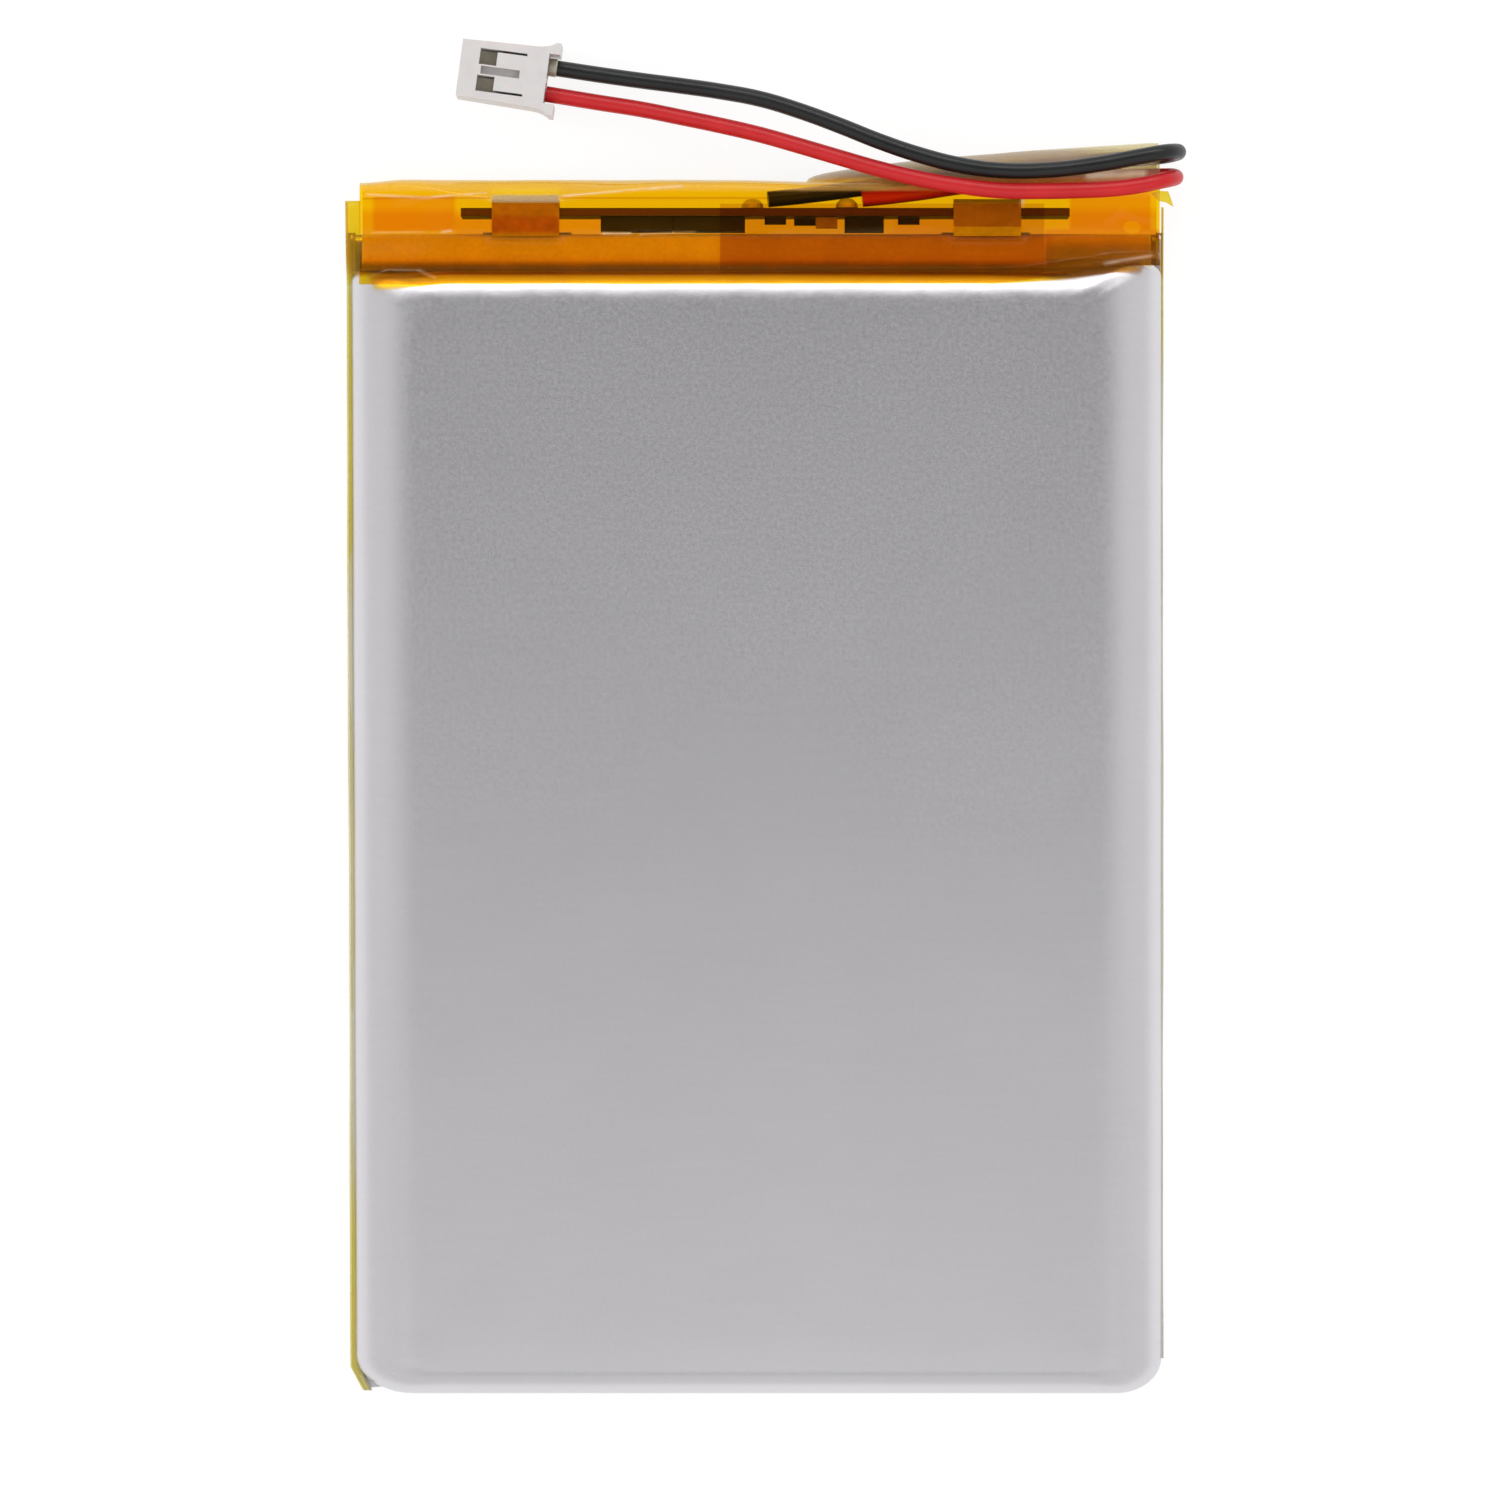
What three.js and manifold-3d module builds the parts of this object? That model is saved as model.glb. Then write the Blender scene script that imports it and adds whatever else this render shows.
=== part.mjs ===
// A lithium pouch cell with its protection board, tapes, leads and plug, in millimetres.
// The cell lies on its back: +X runs across it, +Y towards the end with the board, and +Z out of
// the drawn face. In the groups below, y is measured from the cell's bottom edge, and the whole
// cell is then moved so that the origin is in the middle of its footprint, on the surface it lies on.

import * as THREE from 'three';
import { mergeVertices } from 'three/addons/utils/BufferGeometryUtils.js';
import Module from 'manifold-3d';

const wasm = await Module();
wasm.setup();

// Overall size
const OVERALL_LENGTH = 92.7;
const CELL_THICKNESS = 6;
const BODY_HALF_WIDTH = 29.25;
const FILM_THICKNESS = 0.15;
const TAPE_THICKNESS = 0.1;

// The drawn cup: each round is how far it runs across, and how far down
const SIDE_ROUND = { across: 3.5, down: 3.4 };
const BOTTOM_ROUND = { across: 1.9, down: 2.6 };
const SHOULDER_ROUND = { across: 1.2, down: 1.2 };
const FLAT_FRONT_END = 81;
const END_WALL_FOOT = 83.8;
const CORNER_RADIUS_AT_FRONT = 1;
const BOTTOM_CORNER_RADIUS = 3;
const SHOULDER_CORNER_RADIUS = 1.8;
const ROUND_STEPS = 8;
const CORNER_STEPS = 5;

// The back sheet steps up under the terrace tape, and the cup's sealed flange lies on it
const BACK_STEP_START = 76;
const BACK_STEP_HEIGHT = 0.12;
const SEAL_GAP = 0.02;
const TERRACE_END = 86.2;
const WALL_OVERLAP = 0.1;

// The side flaps: two layers of film folded up against the walls
const FLAP_INNER_X = 29.5;
const FLAP_LAYER_PITCH = 0.2;
const INNER_FLAP_TOP = 2.4;
const OUTER_FLAP_TOP = 2.5;
const LEFT_FLAP_START = 0.1;
const RIGHT_FLAP_START = 2.5;

// The wound roll: four ribbons wound together into a flat spiral
const ROLL_CENTRE_Z = 3.05;
const ROLL_HALF_STRAIGHT = 25.6;
const CORE_RADIUS = 0.32;
const WINDING_PITCH = 0.32;
const ROLL_TURNS = 7;
const HALF_TURN_STEPS = 6;
const RIBBONS = [
  { name: 'anode_strip', offset: 0, thickness: 0.12, start: 2.4, end: 79.6, paint: 'anode' },
  { name: 'inner_separator', offset: 0.08, thickness: 0.02, start: 1.6, end: 80.4, paint: 'separator' },
  { name: 'cathode_strip', offset: 0.16, thickness: 0.12, start: 2.9, end: 79.1, paint: 'cathode' },
  { name: 'outer_separator', offset: 0.24, thickness: 0.02, start: 1.6, end: 80.4, paint: 'separator' },
];
const ROLL_TAPE = { halfWidth: 8, start: 8, end: 74, low: 5.7, high: 5.76 };

// The tabs run out of the roll's core, through the seal, and up behind the board
const TAB_THICKNESS = 0.1;
const TAB_HALF_WIDTH = 2;
const TAB_SEAL_Z = 0.46;
const NEGATIVE_TAB_X = -17.1;
const POSITIVE_TAB_X = 17.1;
const WELD_TAPE = { halfWidth: 3, start: 54, end: 79, low: 3.13, high: 3.17 };
// Middle line of a tab as [y, z]: out of the core, down to the terrace, and up behind the board
const TAB_LINE = [
  [56, 3.05], [80.9, 3.05], [81.7, 2.8], [82.3, 2], [82.9, 0.9], [83.7, 0.46],
  [88.3, 0.46], [88.65, 0.65], [88.7, 1], [88.35, 1.7], [88.28, 2.3], [88.28, 3.4],
];
const SLEEVE = { halfWidth: 3.3, start: 84.2, end: 86.35, low: 0.29, high: 0.63, hole: 0.18 };
const SLEEVE_ROOM = 0.1;
const BUMP_ROOF = 0.8;

// The protection board stands on its edge, with its components facing the cell
const BOARD = { left: -21.9, right: 23.2, inner: 87.3, outer: 87.9, low: 0.95, high: 4.85 };
const COMPONENT_GAP = 0.05;
const COMPONENTS = [
  { name: 'power_transistor_left', x: -8.9, z: 2.9, width: 5.3, height: 3, depth: 1, paint: 'chip' },
  { name: 'power_transistor_right', x: -3.5, z: 2.9, width: 5.3, height: 3, depth: 1, paint: 'chip' },
  { name: 'gate_resistor', x: 1.4, z: 3.6, width: 1.6, height: 0.8, depth: 0.5, paint: 'chip' },
  { name: 'sense_resistor', x: 3.6, z: 2.4, width: 1.6, height: 0.8, depth: 0.5, paint: 'chip' },
  { name: 'filter_capacitor', x: 5.2, z: 3.9, width: 1.6, height: 0.8, depth: 0.8, paint: 'capacitor' },
  { name: 'protection_chip', x: 8, z: 2.9, width: 2.9, height: 1.6, depth: 1.05, paint: 'chip' },
  { name: 'supply_resistor', x: 11.3, z: 3.6, width: 1.6, height: 0.8, depth: 0.5, paint: 'chip' },
];
const NICKEL_THICKNESS = 0.12;
const NICKEL_HALF_WIDTH = 2.5;
// Middle line of a nickel plate as [y, z]: up the board's outer face, then over its upper edge
const NICKEL_LINE = [
  [88.02, 1.6], [88.02, 3.7], [88.4, 4.2], [88.5, 4.65], [88.2, 4.98], [85.8, 4.98],
];
const FOAM = { left: -28.9, right: 28.9, start: 84.1, end: 86, low: 1.1, high: 3.85 };
const SOLDER_RADIUS = 0.85;
const SOLDER_HEIGHT = 0.75;
const SOLDER_GAP = 0.05;
const SOLDER_SIDES = 16;
// A solder dome's outline, as shares of its radius and of its height
const SOLDER_PROFILE = [[0, 0], [1, 0], [0.9, 0.45], [0.55, 0.85], [0, 1]];
const BLACK_SOLDER = { x: -0.3, z: 3.5 };
const RED_SOLDER = { x: 6.7, z: 4 };

// Middle line of the terrace tape as [y, z]: from the shoulder, over the board and round the end,
// then under the terrace. The second line is where it bulges over the leads at the right end.
const TAPE_HALF_WIDTH = 29.25;
const TAPE_LINE = [
  [82.45, 4.66], [83.1, 4.15], [83.9, 4.05], [84.7, 4.6], [85.8, 5.4], [88.5, 5.6], [89.3, 5],
  [89.85, 4], [89.95, 2.9], [89.85, 1.6], [89.5, 0.7], [88.9, 0.16], [88.4, 0.06], [77.5, 0.06],
];
const BULGE_LINE = [
  [82.45, 4.66], [83.1, 4.15], [83.9, 4.05], [84.7, 4.6], [85.8, 5.4], [88.5, 5.6], [90.4, 4.9],
  [91.9, 4.2], [92.6, 3.1], [92.65, 1.6], [92.3, 0.75], [90.6, 0.22], [88.4, 0.06], [77.5, 0.06],
];
const BULGE_START_X = 3.7;
const BULGE_STATIONS = 8;
const PATCH_INSET = 0.15;
const PATCH_LEFT = -2.7;
const PATCH_RIGHT = 21.3;
const PATCH_FIRST_POINT = 2;
const PATCH_LAST_POINT = 5;

// Side tapes: middle line as [distance from the cell's middle, z], over the folded flap's edge
const SIDE_TAPE_LINE = [[29.95, 0.1], [29.95, 2.6], [29.66, 2.82], [29.38, 2.6], [29.38, 2.1]];
const LEFT_SIDE_TAPE_START = 0.6;
const SIDE_TAPE_END = 88.3;

// The leads: routes from the solder joints to the plug
const LEAD_DIAMETER = 1.2;
const LEAD_SIDES = 8;
const LEAD_STEPS = 72;
const BLACK_ROUTE = [
  [0.85, 88.62, 3.5], [3, 88.85, 3.3], [5.3, 89.15, 2.9], [7.7, 89.5, 2.4], [10.3, 89.85, 2.05],
  [13.5, 90.25, 1.8], [17.5, 90.75, 1.6], [21.5, 91.2, 1.45], [25.5, 91.6, 1.33], [28.7, 91.85, 1.3],
  [30, 91.95, 1.65], [30.93, 92.05, 2.6], [31.28, 92.1, 3.88], [30.93, 92.05, 5.16], [30, 91.9, 6.1],
  [28.7, 91.65, 6.45], [25.4, 91.05, 6.4], [21.7, 90.62, 6.2], [18, 90.6, 6], [15, 91, 5.9],
  [12.1, 91.74, 5.8], [9.1, 92.77, 5.6], [6.2, 93.95, 5.25], [3.2, 95.09, 4.8], [0.3, 96.01, 4.25],
  [-2.7, 96.62, 3.7], [-5.7, 97.09, 3.2], [-8.6, 97.5, 2.75], [-11.6, 97.95, 2.4], [-15.01, 98.48, 2.2],
];
const RED_ROUTE = [
  [7.85, 88.62, 4], [10, 88.85, 3.9], [12.3, 89.15, 3.7], [14.8, 89.55, 3.3], [17.6, 89.9, 2.85],
  [20.5, 90.15, 2.4], [23.4, 90.3, 2], [26.2, 90.42, 1.55], [28.5, 90.45, 1.35], [29.8, 90.45, 1.7],
  [30.73, 90.4, 2.64], [31.08, 90.25, 3.93], [30.73, 90.05, 5.2], [29.8, 89.8, 6.15], [28.5, 89.5, 6.5],
  [26.4, 89.22, 6.55], [23.9, 89.1, 6.45], [21, 89.05, 6.3], [18, 89.1, 6.2], [15, 89.46, 6.1],
  [12.1, 89.98, 5.95], [9.1, 90.72, 5.7], [6.2, 91.58, 5.3], [3.2, 92.5, 4.8], [0.3, 93.36, 4.25],
  [-2.7, 94.1, 3.7], [-5.7, 94.76, 3.2], [-8.6, 95.37, 2.75], [-11.9, 95.92, 2.38], [-15.65, 96.55, 2.2],
];

// The plug, in its own frame: x from its mating face towards the leads, z up from the surface
const PLUG_POSITION = { x: -22.03, y: 98.41 };
const PLUG_TURN = THREE.MathUtils.degToRad(-7.6);
const PLUG = { length: 7.3, frontHalf: 2.1, rearHalf: 2.25, earHalf: 2.7, low: 0.02, high: 4.4 };
const PLUG_NECK_X = 5.2;
const PLUG_EAR_X = 6.95;
const PLUG_REAR_X = 6.5;
const PLUG_REAR_HALF = 1.85;
const PLUG_CURVE_STEPS = 6;
const PIN_OFFSET = 1;
const CAVITY = { halfWidth: 0.82, low: 1.25, high: 3.2 };
const WINDOW = { start: 1.4, end: 2.7, halfWidth: 0.6 };
const TONGUE_SLOT = { end: 4.9, inner: 0.42 };
const CHANNEL = { start: 1.6, end: 4.5, halfWidth: 0.3, low: 3.4 };
const CONTACT_Z = 2.2;
const CONTACT_BOX = { start: 0.9, end: 3.4, halfWidth: 0.52, halfHeight: 0.65 };
const CONTACT_NECK = { start: 3.3, end: 4.2, halfWidth: 0.3, halfHeight: 0.3 };
const CONTACT_BARREL = { start: 4.1, radius: 0.5, sides: 12 };
const BLACK_BARREL_END = 6.6;
const RED_BARREL_END = 6.2;
const OVERCUT = 0.5;

const PAINTS = {
  pouch: paint(0xb8b6bb, 0.45, 0.85),
  tape: paint(0xd8820c, 0.2, 0, 0.75),
  sideTape: paint(0xcdbb3a, 0.3, 0, 0.75),
  board: paint(0x14491f, 0.5, 0),
  chip: paint(0x1b1b1d, 0.5, 0),
  capacitor: paint(0xa58664, 0.5, 0),
  nickel: paint(0xbab6ac, 0.35, 0.9),
  aluminium: paint(0xcfd0d2, 0.35, 0.9),
  solder: paint(0xc4c4c6, 0.3, 0.9),
  tinned: paint(0xa9a08c, 0.35, 0.9),
  foam: paint(0xd9d3c4, 0.9, 0),
  sealFilm: paint(0xf2f0e4, 0.5, 0, 0.8),
  anode: paint(0x2a2b2e, 0.85, 0.1),
  cathode: paint(0x1d1d20, 0.8, 0.1),
  separator: paint(0xf4f4f2, 0.6, 0, 0.8),
  blackWire: paint(0x111514, 0.35, 0),
  redWire: paint(0xd0202e, 0.35, 0),
  plug: paint(0xe9e4e1, 0.5, 0),
};

function paint(color, roughness, metalness, opacity = 1) {
  return new THREE.MeshStandardMaterial({
    color,
    roughness,
    metalness,
    opacity,
    transparent: opacity < 1,
  });
}

function piece(name, geometry, paintName) {
  const mesh = new THREE.Mesh(geometry, PAINTS[paintName]);
  mesh.name = name;
  return mesh;
}

function boxBetween(low, high) {
  const size = high.map((value, axis) => value - low[axis]);
  const centre = high.map((value, axis) => (value + low[axis]) / 2);
  return new THREE.BoxGeometry(...size).translate(...centre);
}

// Booleans

function toSolid(geometry) {
  const bare = geometry.clone();
  bare.deleteAttribute('normal');
  bare.deleteAttribute('uv');
  const merged = mergeVertices(bare);
  return new wasm.Manifold(new wasm.Mesh({
    numProp: 3,
    vertProperties: new Float32Array(merged.attributes.position.array),
    triVerts: new Uint32Array(merged.index.array),
  }));
}

function toGeometry(solid) {
  const mesh = solid.getMesh();
  const geometry = new THREE.BufferGeometry();
  geometry.setAttribute('position', new THREE.BufferAttribute(mesh.vertProperties, 3));
  geometry.setIndex(new THREE.BufferAttribute(mesh.triVerts, 1));
  return geometry;
}

function joined(geometries) {
  const whole = geometries.map(toSolid).reduce((sum, solid) => sum.add(solid));
  return toGeometry(whole);
}

function cut(geometry, tools) {
  const whole = tools.map(toSolid).reduce((rest, tool) => rest.subtract(tool), toSolid(geometry));
  return toGeometry(whole);
}

// Surfaces

// Turns a closed mesh's faces outwards if its volume comes out negative
function facingOut(positions, triangles) {
  const corner = (index) => new THREE.Vector3().fromArray(positions, index * 3);
  const volume = triangles.reduce(
    (sum, [a, b, c]) => sum + corner(a).dot(corner(b).cross(corner(c))),
    0,
  );
  return volume < 0 ? triangles.map(([a, b, c]) => [a, c, b]) : triangles;
}

// A closed body through loops of equally many points, with its first and last loops filled in.
// flatten gives a loop's point as a plane one, for filling.
function loft(loops, flatten) {
  const count = loops[0].length;
  const positions = loops.flat().flatMap((point) => point.toArray());
  const triangles = [];
  for (let level = 0; level < loops.length - 1; level += 1) {
    for (let i = 0; i < count; i += 1) {
      const a = level * count + i;
      const b = level * count + ((i + 1) % count);
      triangles.push([a, b, b + count], [a, b + count, a + count]);
    }
  }
  const lastLoop = (loops.length - 1) * count;
  const firstFill = THREE.ShapeUtils.triangulateShape(loops[0].map(flatten), []);
  const lastFill = THREE.ShapeUtils.triangulateShape(loops.at(-1).map(flatten), []);
  const windFirst = loopTurn(loops[0].map(flatten));
  const windLast = loopTurn(loops.at(-1).map(flatten));
  firstFill.forEach((face) => triangles.push(wound(face, windFirst < 0)));
  lastFill.forEach((face) => triangles.push(wound(face, windLast > 0).map((i) => i + lastLoop)));
  const geometry = new THREE.BufferGeometry();
  geometry.setAttribute('position', new THREE.Float32BufferAttribute(positions, 3));
  geometry.setIndex(facingOut(positions, triangles).flat());
  return geometry;
}

function loopTurn(points) {
  return Math.sign(THREE.ShapeUtils.area(points));
}

function wound([a, b, c], forwards) {
  return forwards ? [a, b, c] : [a, c, b];
}

// The closed outline of a strip of even thickness along an open middle line of [u, v] points
function stripOutline(line, thickness) {
  const points = line.map(([u, v]) => new THREE.Vector2(u, v));
  const normals = points.map((point, i) => {
    const before = points[Math.max(i - 1, 0)];
    const after = points[Math.min(i + 1, points.length - 1)];
    const arriving = point.clone().sub(before).normalize();
    const leaving = after.clone().sub(point).normalize();
    const along = arriving.clone().add(leaving).normalize();
    const mitre = Math.max(along.dot(arriving), along.dot(leaving));
    return new THREE.Vector2(-along.y, along.x).multiplyScalar(thickness / 2 / mitre);
  });
  const leftSide = points.map((point, i) => point.clone().add(normals[i]));
  const rightSide = points.map((point, i) => point.clone().sub(normals[i]));
  return [...leftSide, ...rightSide.reverse()];
}

// A strip whose middle line is drawn as [y, z], running across the cell
function stripAcross(line, thickness, left, right) {
  const flat = stripOutline(line, thickness);
  const loops = [left, right].map((x) => flat.map((p) => new THREE.Vector3(x, p.x, p.y)));
  return loft(loops, (point) => new THREE.Vector2(point.y, point.z));
}

// A strip whose middle line is drawn as [x, z], running along the cell
function stripAlong(line, thickness, start, end) {
  const flat = stripOutline(line, thickness);
  const loops = [start, end].map((y) => flat.map((p) => new THREE.Vector3(p.x, y, p.y)));
  return loft(loops, (point) => new THREE.Vector2(point.x, point.z));
}

// The pouch

// How far a round has run outwards at a depth below the front face
function runOut(round, depth) {
  const left = Math.max(0, 1 - depth / round.down);
  return round.across * Math.sqrt(1 - left * left);
}

function endWallY(depth) {
  const shoulderEnd = FLAT_FRONT_END + SHOULDER_ROUND.across;
  const slope = (END_WALL_FOOT - shoulderEnd) / (CELL_THICKNESS - SHOULDER_ROUND.down);
  const slanted = Math.max(0, depth - SHOULDER_ROUND.down) * slope;
  return FLAT_FRONT_END + runOut(SHOULDER_ROUND, depth) + slanted;
}

function roundedLoop({ halfWidth, start, end, bottomRadius, endRadius, z }) {
  const corners = [
    [halfWidth - bottomRadius, start + bottomRadius, bottomRadius, -Math.PI / 2],
    [halfWidth - endRadius, end - endRadius, endRadius, 0],
    [endRadius - halfWidth, end - endRadius, endRadius, Math.PI / 2],
    [bottomRadius - halfWidth, start + bottomRadius, bottomRadius, Math.PI],
  ];
  const steps = Array.from({ length: CORNER_STEPS + 1 }, (_, i) => i / CORNER_STEPS);
  return corners.flatMap(([x, y, radius, from]) => steps.map((share) => {
    const angle = from + (share * Math.PI) / 2;
    return new THREE.Vector3(x + radius * Math.cos(angle), y + radius * Math.sin(angle), z);
  }));
}

function cupLoop(depth, inset, z) {
  const side = runOut(SIDE_ROUND, depth);
  const share = side / SIDE_ROUND.across;
  return roundedLoop({
    halfWidth: BODY_HALF_WIDTH - SIDE_ROUND.across + side - inset,
    start: BOTTOM_ROUND.across - runOut(BOTTOM_ROUND, depth) + inset,
    end: endWallY(depth) - inset,
    bottomRadius: THREE.MathUtils.lerp(CORNER_RADIUS_AT_FRONT, BOTTOM_CORNER_RADIUS, share),
    endRadius: THREE.MathUtils.lerp(CORNER_RADIUS_AT_FRONT, SHOULDER_CORNER_RADIUS, share),
    z,
  });
}

function flangeLow() {
  return FILM_THICKNESS + BACK_STEP_HEIGHT + SEAL_GAP;
}

function cupShell() {
  const depths = Array.from({ length: ROUND_STEPS + 1 }, (_, i) => {
    const angle = (i / ROUND_STEPS) * (Math.PI / 2);
    return SIDE_ROUND.down * (1 - Math.cos(angle));
  });
  const footDepth = CELL_THICKNESS - flangeLow();
  const outer = depths.map((depth) => cupLoop(depth, 0, CELL_THICKNESS - depth));
  const inner = depths.map(
    (depth) => cupLoop(depth, FILM_THICKNESS, CELL_THICKNESS - FILM_THICKNESS - depth),
  );
  const outerFoot = cupLoop(footDepth, 0, flangeLow());
  const innerFoot = cupLoop(footDepth, FILM_THICKNESS, flangeLow());
  const loops = [...outer, outerFoot, innerFoot, ...inner.reverse()];
  return loft(loops, (point) => new THREE.Vector2(point.x, point.y));
}

// One layer of a folded side flap: a web out from the wall, and the leaf that stands up from it
function flapLayer(side, innerX, low, top, start) {
  const outerX = innerX + FILM_THICKNESS;
  const webInnerX = BODY_HALF_WIDTH - WALL_OVERLAP;
  const span = (from, to) => (side > 0 ? [from, to] : [-to, -from]);
  const [webLeft, webRight] = span(webInnerX, outerX);
  const [leafLeft, leafRight] = span(innerX, outerX);
  return [
    boxBetween([webLeft, start, low], [webRight, TERRACE_END, low + FILM_THICKNESS]),
    boxBetween([leafLeft, start, low], [leafRight, TERRACE_END, top]),
  ];
}

// The room that a tab and its sealing sleeve take between the two films of the terrace
function tabTunnel(x) {
  const half = SLEEVE.halfWidth + SLEEVE_ROOM;
  const start = END_WALL_FOOT - FILM_THICKNESS - OVERCUT;
  const top = BUMP_ROOF - FILM_THICKNESS;
  return boxBetween([x - half, start, flangeLow() - OVERCUT], [x + half, TERRACE_END + OVERCUT, top]);
}

function tabBump(x) {
  const half = SLEEVE.halfWidth + SLEEVE_ROOM + FILM_THICKNESS;
  const start = END_WALL_FOOT - WALL_OVERLAP;
  return boxBetween([x - half, start, flangeLow()], [x + half, TERRACE_END, BUMP_ROOF]);
}

function pouchFrontHalf() {
  const halfWidth = FLAP_INNER_X + FILM_THICKNESS;
  const terrace = boxBetween(
    [-halfWidth, END_WALL_FOOT - WALL_OVERLAP, flangeLow()],
    [halfWidth, TERRACE_END, flangeLow() + FILM_THICKNESS],
  );
  const body = joined([
    cupShell(),
    terrace,
    tabBump(NEGATIVE_TAB_X),
    tabBump(POSITIVE_TAB_X),
    ...flapLayer(-1, FLAP_INNER_X, flangeLow(), INNER_FLAP_TOP, LEFT_FLAP_START),
    ...flapLayer(1, FLAP_INNER_X, flangeLow(), INNER_FLAP_TOP, RIGHT_FLAP_START),
  ]);
  return cut(body, [tabTunnel(NEGATIVE_TAB_X), tabTunnel(POSITIVE_TAB_X)]);
}

function pouchBackHalf() {
  const outline = {
    halfWidth: BODY_HALF_WIDTH,
    start: 0,
    end: BACK_STEP_START + WALL_OVERLAP,
    bottomRadius: BOTTOM_CORNER_RADIUS,
    endRadius: WALL_OVERLAP,
  };
  const loops = [0, FILM_THICKNESS].map((z) => roundedLoop({ ...outline, z }));
  const sheet = loft(loops, (point) => new THREE.Vector2(point.x, point.y));
  const flapX = FLAP_INNER_X + FLAP_LAYER_PITCH;
  const halfWidth = flapX + FILM_THICKNESS;
  const steppedSheet = boxBetween(
    [-halfWidth, BACK_STEP_START, BACK_STEP_HEIGHT],
    [halfWidth, TERRACE_END, BACK_STEP_HEIGHT + FILM_THICKNESS],
  );
  const web = BODY_HALF_WIDTH - WALL_OVERLAP;
  const sides = [[-1, LEFT_FLAP_START], [1, RIGHT_FLAP_START]].flatMap(([side, start]) => {
    const near = side * web;
    const far = side * halfWidth;
    const leaf = side * flapX;
    return [
      boxBetween(
        [Math.min(near, far), start, 0],
        [Math.max(near, far), BACK_STEP_START + WALL_OVERLAP, FILM_THICKNESS],
      ),
      boxBetween(
        [Math.min(leaf, far), start, 0],
        [Math.max(leaf, far), BACK_STEP_START + WALL_OVERLAP, OUTER_FLAP_TOP],
      ),
      boxBetween(
        [Math.min(leaf, far), BACK_STEP_START, BACK_STEP_HEIGHT],
        [Math.max(leaf, far), TERRACE_END, OUTER_FLAP_TOP],
      ),
    ];
  });
  return joined([sheet, steppedSheet, ...sides]);
}

function pouch() {
  const group = new THREE.Group();
  group.add(piece('pouch_front_half', pouchFrontHalf(), 'pouch'));
  group.add(piece('pouch_back_half', pouchBackHalf(), 'pouch'));
  return group;
}

// The wound roll and its tabs

// Middle line of one ribbon as [x, z]. Its radius grows only round the two ends, so that the
// straight stretches stay parallel.
function windingLine(offset) {
  const line = [];
  for (let step = 0; step < ROLL_TURNS * 2 * HALF_TURN_STEPS; step += 1) {
    const halfTurn = Math.floor(step / HALF_TURN_STEPS);
    const side = halfTurn % 2 === 0 ? 1 : -1;
    const isStart = step % HALF_TURN_STEPS === 0;
    if (isStart && step > 0) {
      line.push(windingPoint(-side, step, offset));
    }
    line.push(windingPoint(side, step, offset));
  }
  return line;
}

function windingPoint(side, step, offset) {
  const angle = (step / HALF_TURN_STEPS) * Math.PI - Math.PI / 2;
  const radius = CORE_RADIUS + offset + (WINDING_PITCH * step) / (2 * HALF_TURN_STEPS);
  return [
    side * ROLL_HALF_STRAIGHT + radius * Math.cos(angle),
    ROLL_CENTRE_Z + radius * Math.sin(angle),
  ];
}

function woundRoll() {
  const group = new THREE.Group();
  RIBBONS.forEach(({ name, offset, thickness, start, end, paint: paintName }) => {
    const ribbon = stripAlong(windingLine(offset), thickness, start, end);
    group.add(piece(name, ribbon, paintName));
  });
  const tape = boxBetween(
    [-ROLL_TAPE.halfWidth, ROLL_TAPE.start, ROLL_TAPE.low],
    [ROLL_TAPE.halfWidth, ROLL_TAPE.end, ROLL_TAPE.high],
  );
  group.add(piece('roll_closing_tape', tape, 'sideTape'));
  return group;
}

function tabSleeve(x) {
  const sleeve = boxBetween(
    [x - SLEEVE.halfWidth, SLEEVE.start, SLEEVE.low],
    [x + SLEEVE.halfWidth, SLEEVE.end, SLEEVE.high],
  );
  const half = TAB_HALF_WIDTH + SLEEVE_ROOM;
  const hole = boxBetween(
    [x - half, SLEEVE.start - OVERCUT, TAB_SEAL_Z - SLEEVE.hole / 2],
    [x + half, SLEEVE.end + OVERCUT, TAB_SEAL_Z + SLEEVE.hole / 2],
  );
  return cut(sleeve, [hole]);
}

function weldTape(x) {
  return boxBetween(
    [x - WELD_TAPE.halfWidth, WELD_TAPE.start, WELD_TAPE.low],
    [x + WELD_TAPE.halfWidth, WELD_TAPE.end, WELD_TAPE.high],
  );
}

function tabs() {
  const group = new THREE.Group();
  const poles = [['negative', NEGATIVE_TAB_X, 'nickel'], ['positive', POSITIVE_TAB_X, 'aluminium']];
  poles.forEach(([pole, x, metal]) => {
    const strip = stripAcross(TAB_LINE, TAB_THICKNESS, x - TAB_HALF_WIDTH, x + TAB_HALF_WIDTH);
    group.add(piece(`${pole}_tab`, strip, metal));
    group.add(piece(`${pole}_tab_seal_film`, tabSleeve(x), 'sealFilm'));
    group.add(piece(`${pole}_weld_tape`, weldTape(x), 'sideTape'));
  });
  return group;
}

// The protection board

function component({ x, z, width, height, depth }) {
  const outer = BOARD.inner - COMPONENT_GAP;
  return boxBetween(
    [x - width / 2, outer - depth, z - height / 2],
    [x + width / 2, outer, z + height / 2],
  );
}

// A plate on the board's outer face, bent over its upper edge towards the cell
function nickelPlate(x) {
  return stripAcross(NICKEL_LINE, NICKEL_THICKNESS, x - NICKEL_HALF_WIDTH, x + NICKEL_HALF_WIDTH);
}

// A dome of solder on the board's outer face
function solderJoint({ x, z }) {
  const profile = SOLDER_PROFILE.map(
    ([out, up]) => new THREE.Vector2(out * SOLDER_RADIUS, up * SOLDER_HEIGHT),
  );
  const dome = new THREE.LatheGeometry(profile, SOLDER_SIDES);
  return dome.translate(x, BOARD.outer + SOLDER_GAP, z);
}

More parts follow.
